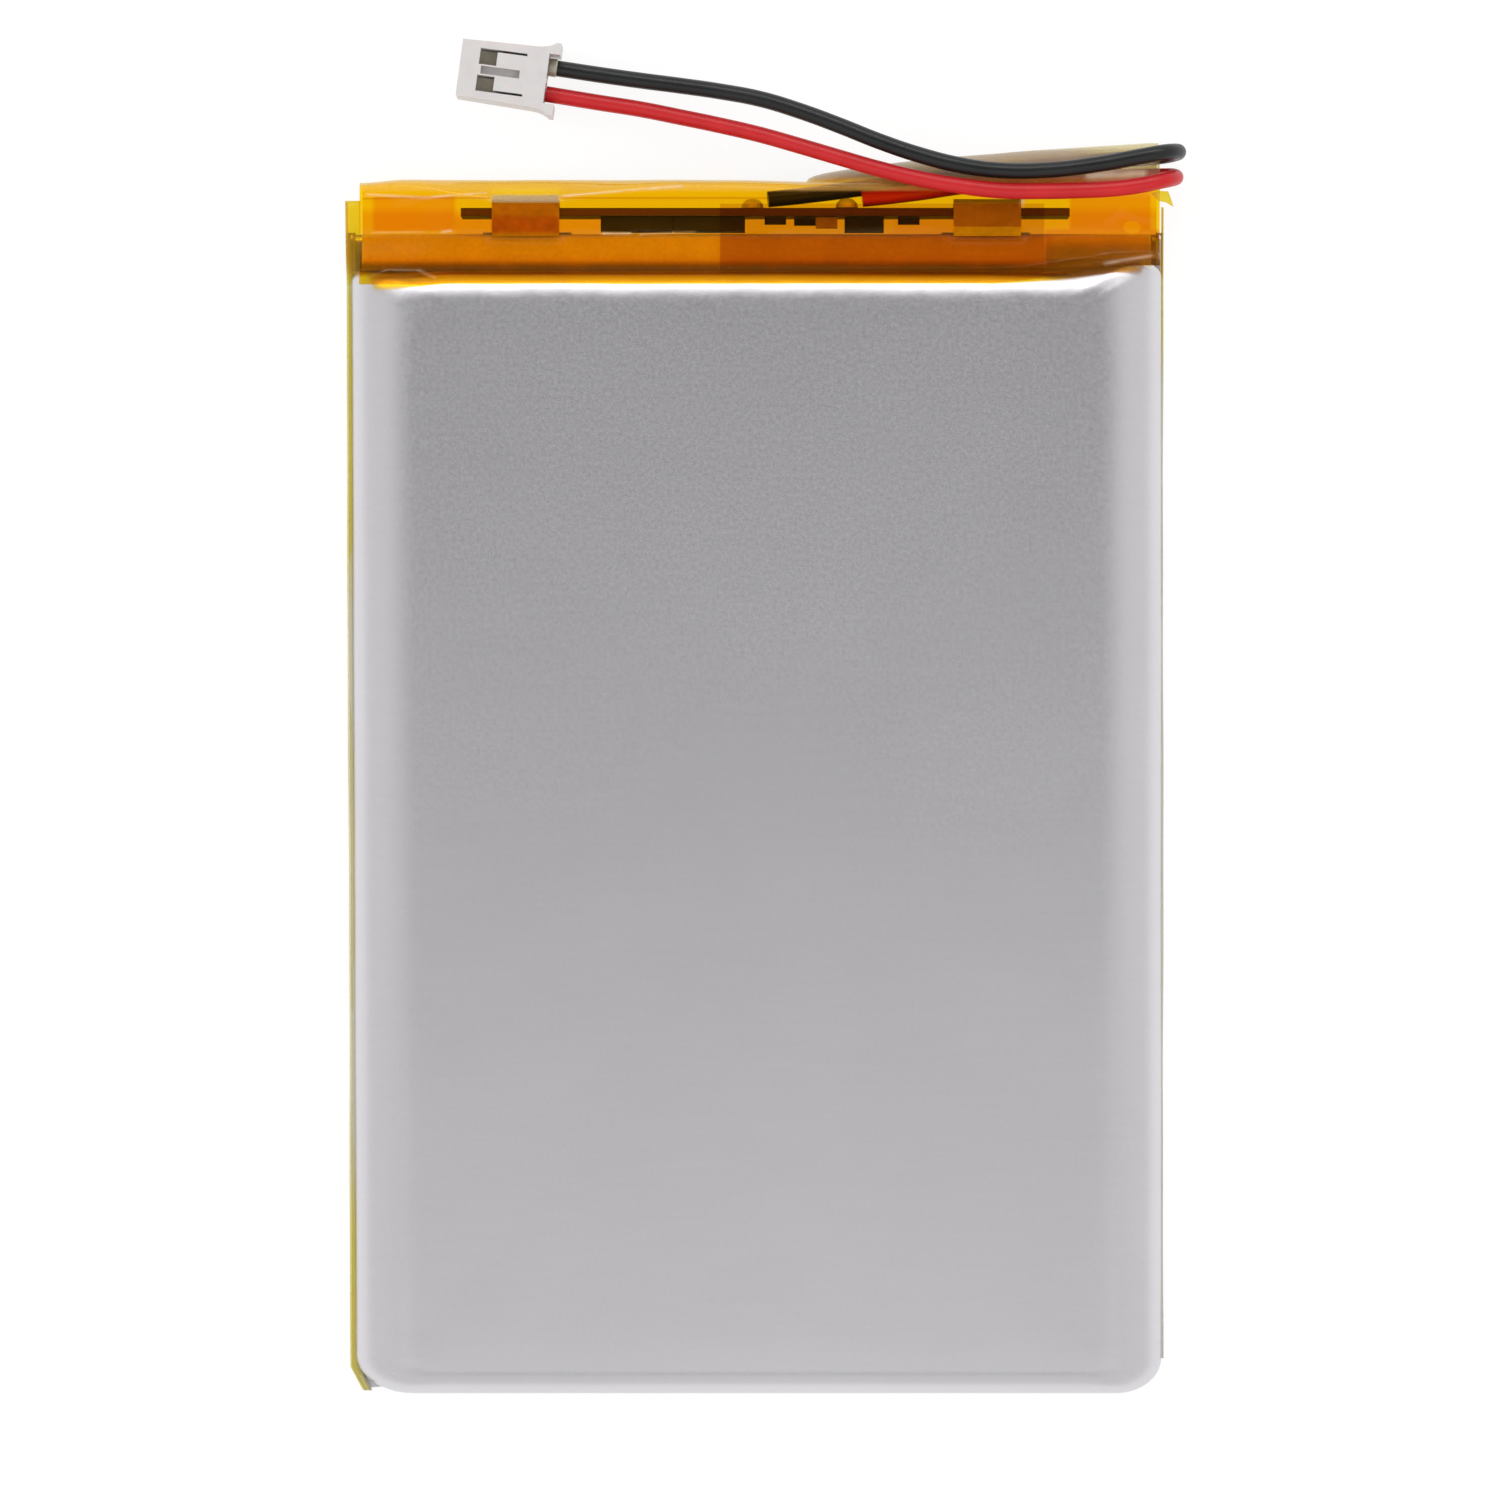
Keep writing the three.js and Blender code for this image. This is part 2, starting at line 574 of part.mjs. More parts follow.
function protectionBoard() {
  const group = new THREE.Group();
  const board = boxBetween(
    [BOARD.left, BOARD.inner, BOARD.low],
    [BOARD.right, BOARD.outer, BOARD.high],
  );
  const foam = boxBetween(
    [FOAM.left, FOAM.start, FOAM.low],
    [FOAM.right, FOAM.end, FOAM.high],
  );
  group.add(piece('circuit_board', board, 'board'));
  group.add(piece('foam_strip', foam, 'foam'));
  COMPONENTS.forEach((spec) => group.add(piece(spec.name, component(spec), spec.paint)));
  group.add(piece('negative_nickel_plate', nickelPlate(NEGATIVE_TAB_X), 'nickel'));
  group.add(piece('positive_nickel_plate', nickelPlate(POSITIVE_TAB_X), 'nickel'));
  group.add(piece('black_lead_solder', solderJoint(BLACK_SOLDER), 'solder'));
  group.add(piece('red_lead_solder', solderJoint(RED_SOLDER), 'solder'));
  return group;
}

// The tapes

// Sections of the terrace tape, from its left end to its right end, where it bulges
function terraceTape() {
  const shares = Array.from({ length: BULGE_STATIONS + 1 }, (_, i) => i / BULGE_STATIONS);
  const span = TAPE_HALF_WIDTH - BULGE_START_X;
  const stations = [
    { x: -TAPE_HALF_WIDTH, bulge: 0 },
    ...shares.map((share) => ({ x: BULGE_START_X + share * span, bulge: Math.sqrt(share) })),
  ];
  const loops = stations.map(({ x, bulge }) => {
    const line = TAPE_LINE.map(([y, z], i) => [
      THREE.MathUtils.lerp(y, BULGE_LINE[i][0], bulge),
      THREE.MathUtils.lerp(z, BULGE_LINE[i][1], bulge),
    ]);
    return stripOutline(line, TAPE_THICKNESS).map((p) => new THREE.Vector3(x, p.x, p.y));
  });
  return loft(loops, (point) => new THREE.Vector2(point.y, point.z));
}

function leadTapePatch() {
  const covered = TAPE_LINE.slice(PATCH_FIRST_POINT, PATCH_LAST_POINT + 1);
  const line = covered.map(([y, z]) => [y, z - PATCH_INSET]);
  return stripAcross(line, TAPE_THICKNESS, PATCH_LEFT, PATCH_RIGHT);
}

function sideTape(side, start) {
  const line = SIDE_TAPE_LINE.map(([distance, z]) => [side * distance, z]);
  return stripAlong(line, TAPE_THICKNESS, start, SIDE_TAPE_END);
}

function tapes() {
  const group = new THREE.Group();
  group.add(piece('terrace_tape', terraceTape(), 'tape'));
  group.add(piece('lead_tape_patch', leadTapePatch(), 'tape'));
  group.add(piece('left_side_tape', sideTape(-1, LEFT_SIDE_TAPE_START), 'sideTape'));
  group.add(piece('right_side_tape', sideTape(1, RIGHT_FLAP_START), 'sideTape'));
  return group;
}

// The leads and the plug

function lead(route) {
  const path = new THREE.CatmullRomCurve3(route.map((point) => new THREE.Vector3(...point)));
  const corners = Array.from({ length: LEAD_SIDES }, (_, i) => {
    const angle = (i / LEAD_SIDES) * 2 * Math.PI;
    return new THREE.Vector2(Math.cos(angle), Math.sin(angle)).multiplyScalar(LEAD_DIAMETER / 2);
  });
  return new THREE.ExtrudeGeometry(new THREE.Shape(corners), {
    steps: LEAD_STEPS,
    extrudePath: path,
  });
}

function leads() {
  const group = new THREE.Group();
  group.add(piece('black_lead', lead(BLACK_ROUTE), 'blackWire'));
  group.add(piece('red_lead', lead(RED_ROUTE), 'redWire'));
  return group;
}

// Plan of the housing: it widens slightly towards the leads and ends in two flared ears
function plugOutline() {
  const shape = new THREE.Shape();
  shape.moveTo(0, -PLUG.frontHalf);
  shape.lineTo(PLUG_NECK_X, -PLUG.rearHalf);
  shape.quadraticCurveTo(PLUG_REAR_X, -PLUG.rearHalf, PLUG_EAR_X, -PLUG.earHalf);
  shape.lineTo(PLUG.length, -PLUG.earHalf);
  shape.lineTo(PLUG.length, -PLUG_REAR_HALF);
  shape.lineTo(PLUG_REAR_X, -PLUG_REAR_HALF);
  shape.lineTo(PLUG_REAR_X, PLUG_REAR_HALF);
  shape.lineTo(PLUG.length, PLUG_REAR_HALF);
  shape.lineTo(PLUG.length, PLUG.earHalf);
  shape.lineTo(PLUG_EAR_X, PLUG.earHalf);
  shape.quadraticCurveTo(PLUG_REAR_X, PLUG.rearHalf, PLUG_NECK_X, PLUG.rearHalf);
  shape.lineTo(0, PLUG.frontHalf);
  return shape;
}

// What is cut out for one contact: its cavity, the window over it and the slot outside its tongue
function contactRoom(y) {
  const { halfWidth, low, high } = CAVITY;
  const top = PLUG.high + OVERCUT;
  const cavity = boxBetween([-OVERCUT, y - halfWidth, low], [PLUG.length, y + halfWidth, high]);
  const window = boxBetween(
    [WINDOW.start, y - WINDOW.halfWidth, CONTACT_Z],
    [WINDOW.end, y + WINDOW.halfWidth, top],
  );
  const edges = [y + Math.sign(y) * TONGUE_SLOT.inner, y + Math.sign(y) * WINDOW.halfWidth];
  const slot = boxBetween(
    [WINDOW.start, Math.min(...edges), CONTACT_Z],
    [TONGUE_SLOT.end, Math.max(...edges), top],
  );
  return [cavity, window, slot];
}

// The shallow channel between the two tongues
function tongueChannel() {
  const { start, end, halfWidth, low } = CHANNEL;
  return boxBetween([start, -halfWidth, low], [end, halfWidth, PLUG.high + OVERCUT]);
}

function plugHousing() {
  const depth = PLUG.high - PLUG.low;
  const block = new THREE.ExtrudeGeometry(plugOutline(), {
    depth,
    bevelEnabled: false,
    curveSegments: PLUG_CURVE_STEPS,
  });
  block.translate(0, 0, PLUG.low);
  return cut(block, [...contactRoom(PIN_OFFSET), ...contactRoom(-PIN_OFFSET), tongueChannel()]);
}

function plugContact(y, barrelEnd) {
  const blocks = [CONTACT_BOX, CONTACT_NECK].map(({ start, end, halfWidth, halfHeight }) => boxBetween(
    [start, y - halfWidth, CONTACT_Z - halfHeight],
    [end, y + halfWidth, CONTACT_Z + halfHeight],
  ));
  const { start, radius, sides } = CONTACT_BARREL;
  const barrel = new THREE.CylinderGeometry(radius, radius, barrelEnd - start, sides);
  barrel.rotateZ(Math.PI / 2);
  barrel.translate((start + barrelEnd) / 2, y, CONTACT_Z);
  return joined([...blocks, barrel]);
}

function plug() {
  const group = new THREE.Group();
  group.add(piece('plug_housing', plugHousing(), 'plug'));
  group.add(piece('black_plug_contact', plugContact(PIN_OFFSET, BLACK_BARREL_END), 'tinned'));
  group.add(piece('red_plug_contact', plugContact(-PIN_OFFSET, RED_BARREL_END), 'tinned'));
  group.position.set(PLUG_POSITION.x, PLUG_POSITION.y, 0);
  group.rotation.z = PLUG_TURN;
  return group;
}

const pouchCell = new THREE.Group();
pouchCell.add(pouch(), woundRoll(), tabs(), protectionBoard(), tapes(), leads(), plug());
pouchCell.position.y = -OVERALL_LENGTH / 2;

export default pouchCell;
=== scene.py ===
"""Looks of a lithium pouch cell with its protection board, tapes, leads and plug.

Sizes here are in millimetres, with y measured from the cell's bottom edge, as the shapes are drawn.
Points are turned into the frame's metres, with its origin in the middle of the footprint, by framed().
"""

import math

import bmesh
import bpy
import numpy as np
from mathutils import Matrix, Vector, noise


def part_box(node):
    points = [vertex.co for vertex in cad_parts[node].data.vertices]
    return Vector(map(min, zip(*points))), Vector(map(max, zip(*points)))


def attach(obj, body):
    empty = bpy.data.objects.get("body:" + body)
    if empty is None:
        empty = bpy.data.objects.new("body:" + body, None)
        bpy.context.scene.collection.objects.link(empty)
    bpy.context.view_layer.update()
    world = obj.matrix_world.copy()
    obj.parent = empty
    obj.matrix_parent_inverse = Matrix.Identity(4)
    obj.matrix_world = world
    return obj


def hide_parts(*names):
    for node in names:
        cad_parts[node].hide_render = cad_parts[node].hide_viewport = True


MM = 0.001

# The camera looks straight down on the cell from above its middle
CAMERA_X = -0.48
CAMERA_Y = 47.75
CAMERA_HEIGHT = 606
CAMERA_SENSOR = 36
CAMERA_LENS = 194.8
CAMERA_NEAR = 10

# The floor glows from below, and the white tent has a darker round overhead
FLOOR_HALF = 1500
FLOOR_GLOW = 0.83
SKY = 1.0
SKY_PATCH = 0.15
# How steep a direction is where the round starts and where it is darkest
SKY_PATCH_EDGE = 0.78
SKY_PATCH_CORE = 0.985
LAMPS = [
    # name, place, size across and along, power in watts, point it faces, what it lights
    ("front_box", (0, -60, 440), (520, 150), 0.23, (0, 20, 0), "gloss"),
    ("end_strip", (0, 520, 380), (900, 110), 1.5, (0, 85, 0), "gloss"),
    ("soft_top", (0, 40, 900), (1400, 1400), 5.5, (0, 45, 0), "body"),
]

# Leads: their routes from the solder joints to the plug
LEAD_DIAMETER = 1.2
LEAD_STEPS = 8
LEAD_ROUNDNESS = 6
BLACK_ROUTE = [
    (0.85, 88.62, 3.5), (3, 88.85, 3.3), (5.3, 89.15, 2.9), (7.7, 89.5, 2.4),
    (10.3, 89.85, 2.05), (13.5, 90.25, 1.8), (17.5, 90.75, 1.6), (21.5, 91.2, 1.45),
    (25.5, 91.6, 1.33), (28.7, 91.85, 1.3), (30, 91.95, 1.65), (30.93, 92.05, 2.6),
    (31.28, 92.1, 3.88), (30.93, 92.05, 5.16), (30, 91.9, 6.1), (28.7, 91.65, 6.45),
    (25.4, 91.05, 6.4), (21.7, 90.62, 6.2), (18, 90.6, 6), (15, 91, 5.9),
    (12.1, 91.74, 5.8), (9.1, 92.77, 5.6), (6.2, 93.95, 5.25), (3.2, 95.09, 4.8),
    (0.3, 96.01, 4.25), (-2.7, 96.62, 3.7), (-5.7, 97.09, 3.2), (-8.6, 97.5, 2.75),
    (-11.6, 97.95, 2.4), (-15.01, 98.48, 2.2),
]
RED_ROUTE = [
    (7.85, 88.62, 4), (10, 88.85, 3.9), (12.3, 89.15, 3.7), (14.8, 89.55, 3.3),
    (17.6, 89.9, 2.85), (20.5, 90.15, 2.4), (23.4, 90.3, 2), (26.2, 90.42, 1.55),
    (28.5, 90.45, 1.35), (29.8, 90.45, 1.7), (30.73, 90.4, 2.64), (31.08, 90.25, 3.93),
    (30.73, 90.05, 5.2), (29.8, 89.8, 6.15), (28.5, 89.5, 6.5), (26.4, 89.22, 6.55),
    (23.9, 89.1, 6.45), (21, 89.05, 6.3), (18, 89.1, 6.2), (15, 89.46, 6.1),
    (12.1, 89.98, 5.95), (9.1, 90.72, 5.7), (6.2, 91.58, 5.3), (3.2, 92.5, 4.8),
    (0.3, 93.36, 4.25), (-2.7, 94.1, 3.7), (-5.7, 94.76, 3.2), (-8.6, 95.37, 2.75),
    (-11.9, 95.92, 2.38), (-15.65, 96.55, 2.2),
]

# The plug: its place and turn, and the crimp that shows between its black pin and the lead
PLUG_POSITION = (-22.03, 98.41)
PLUG_TURN = -7.6
PIN_OFFSET = 1
PIN_HEIGHT = 2.2
CRIMP_SIDES = 20
# Rings of the crimp: how far each is from the plug's middle, and its radius
CRIMP_RINGS = [(6.35, 0.5), (6.42, 0.62), (6.5, 0.66), (7.02, 0.68), (7.12, 0.66), (7.16, 0.58)]

# The drawn cup. A round is how far it runs across and how far down.
BODY_LEFT = -29.78
BODY_RIGHT = 30.12
FRONT_Z = 6
SIDE_ROUND = (5.1, 3.6)
BOTTOM_ROUND = (1.9, 2.6)
SHOULDER_ROUND = (2.65, 1.9)
FLAT_END = 80.8
WALL_LEAN = 0.08
FOOT_DEPTH = 5.72
WALL_SHARES = (0.33, 0.66, 1)
# Corner radii across and along at the front face and at the foot, from the bottom right
# corner and on anticlockwise
FRONT_CORNERS = [(1.2, 1), (2.4, 1.6), (2.4, 1.6), (1.6, 1.2)]
FOOT_CORNERS = [(3.2, 2.6), (0.5, 0.6), (0.9, 1), (4.2, 2.8)]
SIDE_STEPS = [70, 200, 70, 60]
CORNER_STEPS = 10
ROUND_STEPS = 16
FACE_INSETS = [0.3, 0.7, 1.2, 1.8, 2.6, 3.6, 5, 7, 9.5, 12.5, 16]
CROWN_WIDTH = 4.2
CROWN_DROP = 0.07
CORNER_EASE = 0.15
FILM = 0.12
# From here on, a pair such as SAG_Y says where a change starts and where it is complete. Two such
# pairs say where it comes in and where it goes out again. Waves are lists of (height, size, seed).

# The shoulder is drawn in near its two ends, as where the cup was stretched
SAG_Y = (77, FLAT_END)
SAG_Z = (2.5, 4.6)
# Each end's place in x, and how far the shoulder moves there along y and down
SAGS = [((-22.5, -27.5), 0.3, 0.12), ((22, 28), -0.65, 0.1)]
FACE_Z = (3.5, 5.6)
FACE_WAVES = [(0.03, 16, 3), (0.008, 4, 8)]
UPPER_Y = (76, 81)
UPPER_Z = (3, 5.5)
UPPER_WAVES = [(0.02, 1.2, 5)]
# A fold starts and ends at these shares of its line. Folds in the shoulder: start, end, width, height
RIDGE_ENDS = (0.02, 0.98)
SHOULDER_FOLDS = [
    ((23.6, 81.5), (25.4, 81.9), 0.25, 0.05),
    ((25.2, 81.2), (27.4, 82.2), 0.3, 0.07),
    ((27, 80.7), (28.6, 82.3), 0.35, 0.06),
    ((-27.6, 80.9), (-24, 81.6), 0.35, 0.05),
    ((-28.8, 81.6), (-27.2, 82.1), 0.4, 0.08),
]

# The side flaps lean out a little towards the end with the board, on the left
LEFT_LEAN = 0.33
LEAN_END = 82
LEAN_X = (22, 29)
# Each layer's distance from the cell's middle, at the left and at the right
INNER_LEAF = (29.84, 30.15)
OUTER_LEAF = (29.98, 30.18)
SIDE_TAPE = (30.15, 30.23)
LEAF_TOPS = (2.3, 2.5)
LEAF_TURN = 0.22
LEAF_TURN_ANGLES = [90, 68, 45, 22, 0]
LEAF_HEIGHTS = 9
# A leaf's sideways waves: width, length and how far on they are at the right
LEAF_WAVES = [(0.025, 7, 2), (0.012, 2.3, 0)]
# The lengths of the waves along its upper edge
LEAF_TOP_WAVES = (5.1, 1.9)
OUTER_CURL = 0.5
# A curled edge: share of the curl, and rise
CURL_STEPS = [(0.4, 0.04), (1, 0.06)]
OUTER_TOP_WAVE = 0.05
INNER_TOP_WAVE = 0.06
INNER_FILM = 0.08
FLAP_END = 86.2
FLAP_ROWS = 90
NEAR_CORNER = 3
NEAR_ROWS = 16
LEFT_FLAP_START = 0.15
RIGHT_FLAP_START = 2.54
# The left flaps end in a tip that turns in towards the bottom edge
TIP_BEND = 1.9
TIP_TURN = 0.52
# The bottom edge of the back sheet as (x, y), from the left flap's tip to the right flap
SHEET_BOTTOM = [
    (-29.05, 0.15), (-28.4, 0.38), (-27.75, 0.67), (-27.1, 0.5), (-26.3, 0.2), (-25.4, 0.03),
    (-24, -0.08), (26, -0.08), (26.8, -0.04), (27.7, 0.25), (28.7, 0.81), (29.5, 1.65), (29.98, 2.54),
]
SHEET_Z = 0.06
SHEET_COLUMNS = 61
SHEET_ROWS = 120
# The rows in this first share of its length are closer together
SHEET_NEAR = 0.07
SHEET_NEAR_ROWS = 24
SHEET_CROWDING = 1.5
# How far out the sheet starts to follow its left flap
PULL_START = 20
# The sheet steps in to let the tape's end lie over it
BACK_STEP_Y = (75.7, 76.4)
BACK_STEP_Z = (1.5, 0.3)
BACK_STEP = 0.12
# The sealed flange under the board, and the bumps in it over the tabs
FLANGE_X = (-29.4, 29.5)
FLANGE_START = 83.6
FLANGE_COLUMNS = 120
FLANGE_ROWS = 14
FLANGE_Z = 0.36
BUMP_EDGE = (4, 3.3)
BUMP_Y = (83.6, 84.2)
BUMP_HEIGHT = 0.4
FLANGE_RIPPLE = (0.015, 1.7, 0.5)

# The amber tape: middle line as (y, z) from the shoulder, over the board, round the end and under
# the terrace, then the same line where the tape bulges over the leads
TAPE_LEFT = -29.4
TAPE_RIGHT = 29.86
TAPE_COLUMNS = 300
TAPE_ROW_STEPS = 7
TAPE_THICKNESS = 0.05
FLAT_LINE = [
    (82.35, 5.72), (82.75, 5.48), (83.15, 5.1), (83.45, 4.86), (83.9, 4.79), (84.8, 4.8),
    (85.75, 4.83), (86.05, 5), (86.4, 5.12), (88.2, 5.18), (88.75, 5.1), (89.15, 4.85),
    (89.65, 4.2), (89.85, 3.1), (89.85, 1.6), (89.5, 0.7), (88.9, 0.16), (88.3, 0.07),
    (82, 0.06), (77.5, 0.06),
]
BULGE_LINE = [
    *FLAT_LINE[:9], (88.2, 5.28), (89.3, 5.25), (90.6, 4.95), (92, 4.3), (92.75, 3.2),
    (92.8, 1.7), (92.4, 0.75), (90.6, 0.22), (88.4, 0.07), *FLAT_LINE[-2:],
]
# Where the tape folds down over the board's outer side, as (x, y)
FOLD_LINE = [
    (-29.4, 89.3), (-24, 89.1), (-19.8, 88.72), (-17, 88.62), (-14.6, 88.66), (-11, 89.05),
    (-7, 89.3), (-2, 89.35), (3, 89.3), (29.9, 89.2),
]
FOLD_MIDDLE = 88.95
# Parts of the tape that lap over others: left, right, start, end, layers added
TAPE_LAPS = [
    (-29.6, 21.9, 83.45, 85.95, 0.3), (21.35, 30, 83.45, 86.3, 0.6), (-28.4, -22.3, 86.2, 88.75, 0.8),
    (-19.6, -14.6, 86.1, 88.35, 0.55), (14.6, 19.6, 86.1, 88.2, 0.2), (23.2, 29.2, 86.3, 89, 0.85),
    (-22.3, -11.4, 85.95, 87.2, 0.5), (10.2, 14.6, 85.95, 87.1, 0.3), (-29.6, 30, 82.95, 83.5, 0.6),
    (-19.6, -14.6, 88.95, 89.4, -0.3),
]
LAP_EDGE = 0.12
BULGE_START = 3.7
BULGE_END = 29.25
UPPER_SIDE = (3, 3.6)
FLAT_TOP = (3.2, 4.2)
TAPE_WAVES = [(0.04, 6, 1), (0.015, 1.6, 2)]
# Past the board's ends the tape and the foam droop: where, and by how much
DROOPS = [((-22.2, -25.5), 0.45), ((23.4, 26), 0.3)]
DROOP_Y = ((83.8, 86), (89.9, 88.6))
# The tape lies over the nickel plates: how far outside their ends it rises, where, and how high
PLATE_MARGIN = (0.45, 0.1)
PLATE_Y = ((85.3, 85.65), (88.7, 88.5))
PLATE_TOP = 5.2
FOLD_Y = ((87.2, 88.6), (89.85, 89.1))
# At its corners the tape's start is drawn along y: where in x and y, and by how much
CORNER_DRAWS = [((-22.5, -25), (84, 82.8), -0.15), ((17, 28.6), (84.9, 83), 1.25)]
# Its outer edge stands out a little at the left
OUTER_EDGE_X = ((-29.4, -26), (6, -2))
OUTER_EDGE_Y = (88.6, 89.6)
OUTER_EDGE = 0.22
OUTER_WAVES = [(0.05, 4, 4)]
# Wrinkles in the tape: start, end, width and height
TAPE_WRINKLES = [
    ((-28.6, 82.7), (-26.3, 83.45), 0.16, 0.16),
    ((-26.6, 83.4), (-23.4, 82.75), 0.16, 0.16),
    ((-28.2, 86), (-24, 86.15), 0.2, 0.12),
    ((-27.5, 88.4), (-24.2, 88.9), 0.35, 0.12),
    ((27, 87.1), (29.2, 86.5), 0.25, -0.07),
    ((26, 87), (27, 88.2), 0.25, 0.14),
    ((-11, 86.15), (-9.2, 86), 0.12, 0.08),
    ((-5, 86.05), (1.5, 86.15), 0.12, 0.07),
    ((-14, 88.9), (-3, 89.5), 0.35, 0.08),
]
# Painted highlights along creases in the tape: start, end, width and strength
GLINTS = [
    ((-28.8, 88.9), (-24.5, 88.66), 0.1, 0.42),
    ((-24.5, 88.66), (-20, 89), 0.1, 0.4),
    ((-14.4, 88.78), (-10, 89.12), 0.09, 0.5),
    ((-10, 89.12), (-5.5, 89.5), 0.12, 0.3),
    ((-11.4, 86.02), (-9.3, 86), 0.08, 0.55),
    ((-8.6, 85.95), (-4.6, 86.1), 0.07, 0.25),
    ((-28.4, 86.1), (-24.5, 86.12), 0.07, 0.22),
    ((-23.3, 86.1), (-22.6, 86.2), 0.1, 0.45),
    ((19.68, 88.28), (19.74, 88.4), 0.13, 0.9),
    ((25.8, 83.75), (29.3, 84.35), 0.14, 0.2),
    ((-28.5, 82.85), (-27.3, 83.3), 0.08, 0.14),
    ((-27.3, 83.3), (-25, 83.25), 0.08, 0.1),
    ((-25, 83.25), (-23.8, 82.7), 0.1, 0.22),
    ((24.6, 90.25), (28.6, 90.45), 0.28, 0.6),
]
GLINT_MEAN = 0.8
GLINT_WAVES = [(0.35, 0.9, 21)]
GLINT_SPREAD = 3

# Share of red, green and blue light that passes one layer
AMBER_LAYER = (0.94, 0.6, 0.004)
PATCH_LAYER = (0.84, 0.68, 0.2)
SIDE_LAYER = (0.92, 0.86, 0.38)
# How milky each film is, and the milk's colours. Some of these paint light: the strip and nickel haze and
# the glint colour are painted highlights, and the shade and crease colours are painted shade.
AMBER_HAZE = 0.003
BULGE_HAZE = 0.52
STRIP_HIGHLIGHT_HAZE = 0.22
NICKEL_HIGHLIGHT_HAZE = 0.45
SIDE_HAZE = 0.16
BULGE_AND_NICKEL_HIGHLIGHT_MILK = (0.5, 0.36, 0.28)
RIM_MILK = (0.86, 0.76, 0.55)
SHADE_MILK = (0.3, 0.11, 0.004)
CREASE_SHADE_MILK = (0.14, 0.06, 0.003)
GLINT_HIGHLIGHT_COLOUR = (1, 0.82, 0.6)
STRIP_MILK_AND_HIGHLIGHT = (0.95, 0.56, 0.16)
SIDE_MILK = (0.86, 0.7, 0.12)
# The bulge over the leads is milky, with fewer layers, and clearer towards the right
BULGE_X = (1.5, 4.6)
BULGE_Y = (89.75, 90.35)
BULGE_RIGHT = (22, 27)
BULGE_LAYERS = 0.62
BULGE_RIGHT_LAYERS = 0.25
BULGE_RIGHT_HAZE = 0.4
RIM_WIDTH = (0.75, 0.3)
# The strip that faces away from the board, and the tape over the left nickel plate's bend, both with a
# painted highlight of fewer layers and pale milk
STRIP_Y = (89.05, 89.3)
STRIP_LAYERS = 0.2
NICKEL_HIGHLIGHT_X = ((-19.75, -19.5), (-14.5, -14.75))
NICKEL_HIGHLIGHT_Y = ((88.2, 88.4), (88.95, 88.8))
NICKEL_HIGHLIGHT_Z = (3.6, 4.2)
NICKEL_HIGHLIGHT_LAYERS = 0.7
# Painted shade in a band at the right, and painted shade in the crease at the foot of the shoulder, which is
# also matt
SHADE_X = (21.2, 21.6)
SHADE_Y = ((83.3, 83.6), (86, 84.4))
SHADE_HAZE = 0.38
CREASE_SHADE_Y = ((83.02, 83.25), (84.1, 83.4))
CREASE_SHADE_LAYERS_Y = ((83.15, 83.4), (84.6, 83.4))
CREASE_SHADE_LAYERS = 0.45
CREASE_SHADE_HAZE = 0.42
MATT_Y = ((82.4, 82.7), (84.1, 83.4))
MATT_GLOSS = 0.15
# Where the tape turns under the terrace it is a single clear layer
BEND_Y = (87.9, 88.3)
BEND_Z = (3, 2.2)
BEND_LAYERS = 0.6
BEND_GLOSS = 0.05
LEAST_LAYERS = 0.15

# The inner patch over the solder joints
PATCH_EDGES = (83.2, 88.3)
PATCH_LOWEST = 4
PATCH_COLUMNS = 90
PATCH_DEPTH = 0.09
PATCH_START = (83.9, 83.2)
PATCH_WAVES = [(0.06, 5, 6)]

# The side tapes: how far each folds in over its flap, and what that gains along y
TAPE_REACH = (0.46, 0.05)
REACH_GAINS = (
    [(0.2, (12, 4)), (0.15, (58, 72)), (0.45, (82.6, 83.4))],
    [(0.06, (14, 30)), (0.05, (70, 82))],
)
# The left one's uneven edge: width, and the lengths of its waves
REACH_WAVE = (0.05, 3.3, 11)
SIDE_TAPE_ENDS = (88.5, 88.1)
SIDE_TAPE_ROWS = 150
SIDE_TAPE_LOW = 0.1
SIDE_TAPE_TOP = 2.55
TOP_WAVE = (0.05, 5.1)
# It rises over the terrace at the left, and steps up at its foot with the back sheet
TERRACE_RISE_Y = (82.6, 84.4)
TERRACE_RISE = 1.1
FOOT_STEP_Y = (75, 77)
FOOT_STEP = 0.1
# Its section: share of the reach, share of the height, and rise
SIDE_TAPE_SECTION = [
    (0, 0, 0), (0, 0.35, 0), (0, 0.7, 0), (0, 1, -0.12),
    (0.12, 1, 0), (0.35, 1, 0.06), (0.7, 1, 0.08), (1, 1, 0.07),
]
SIDE_WAVE = (0.03, 2.5)
SIDE_SEED = 9
# Its tint: a thinner middle, a clear right side, more layers at the terrace and a pale spot there
SIDE_LAYERS = 0.75
MIDDLE_Y = ((10, 18), (66, 56))
MIDDLE_LAYERS = 0.65
MIDDLE_HAZE = 0.4
CLEAR_Y = (80, 74)
CLEAR_SHARE = 0.8
TERRACE_Y = (82.6, 83.2)
TERRACE_LAYERS = 1.1
TERRACE_AMBER = 0.55
TERRACE_HAZE = 0.5
TIP_Y = (86.9, 86.1)
TIP_LAYERS = 0.6
SPOT_Y = 83.4
SPOT_WIDTH = 0.35
SPOT_LAYERS = 0.7
# The loose corner of the right side tape
FLAG_CORNERS = [
    [(29.2, 88.95, 5.2), (29.8, 89.1, 5.35), (30.45, 89.08, 5.5)],
    [(29.5, 88.68, 5.15), (30.05, 88.72, 5.3), (30.66, 88.55, 5.45)],
    [(29.8, 88.4, 5.1), (30.3, 88.28, 5.25), (30.85, 87.95, 5.35)],
]
FLAG_STEPS = 4
FLAG_LAYERS = 1.8
FLAG_AMBER = 0.3

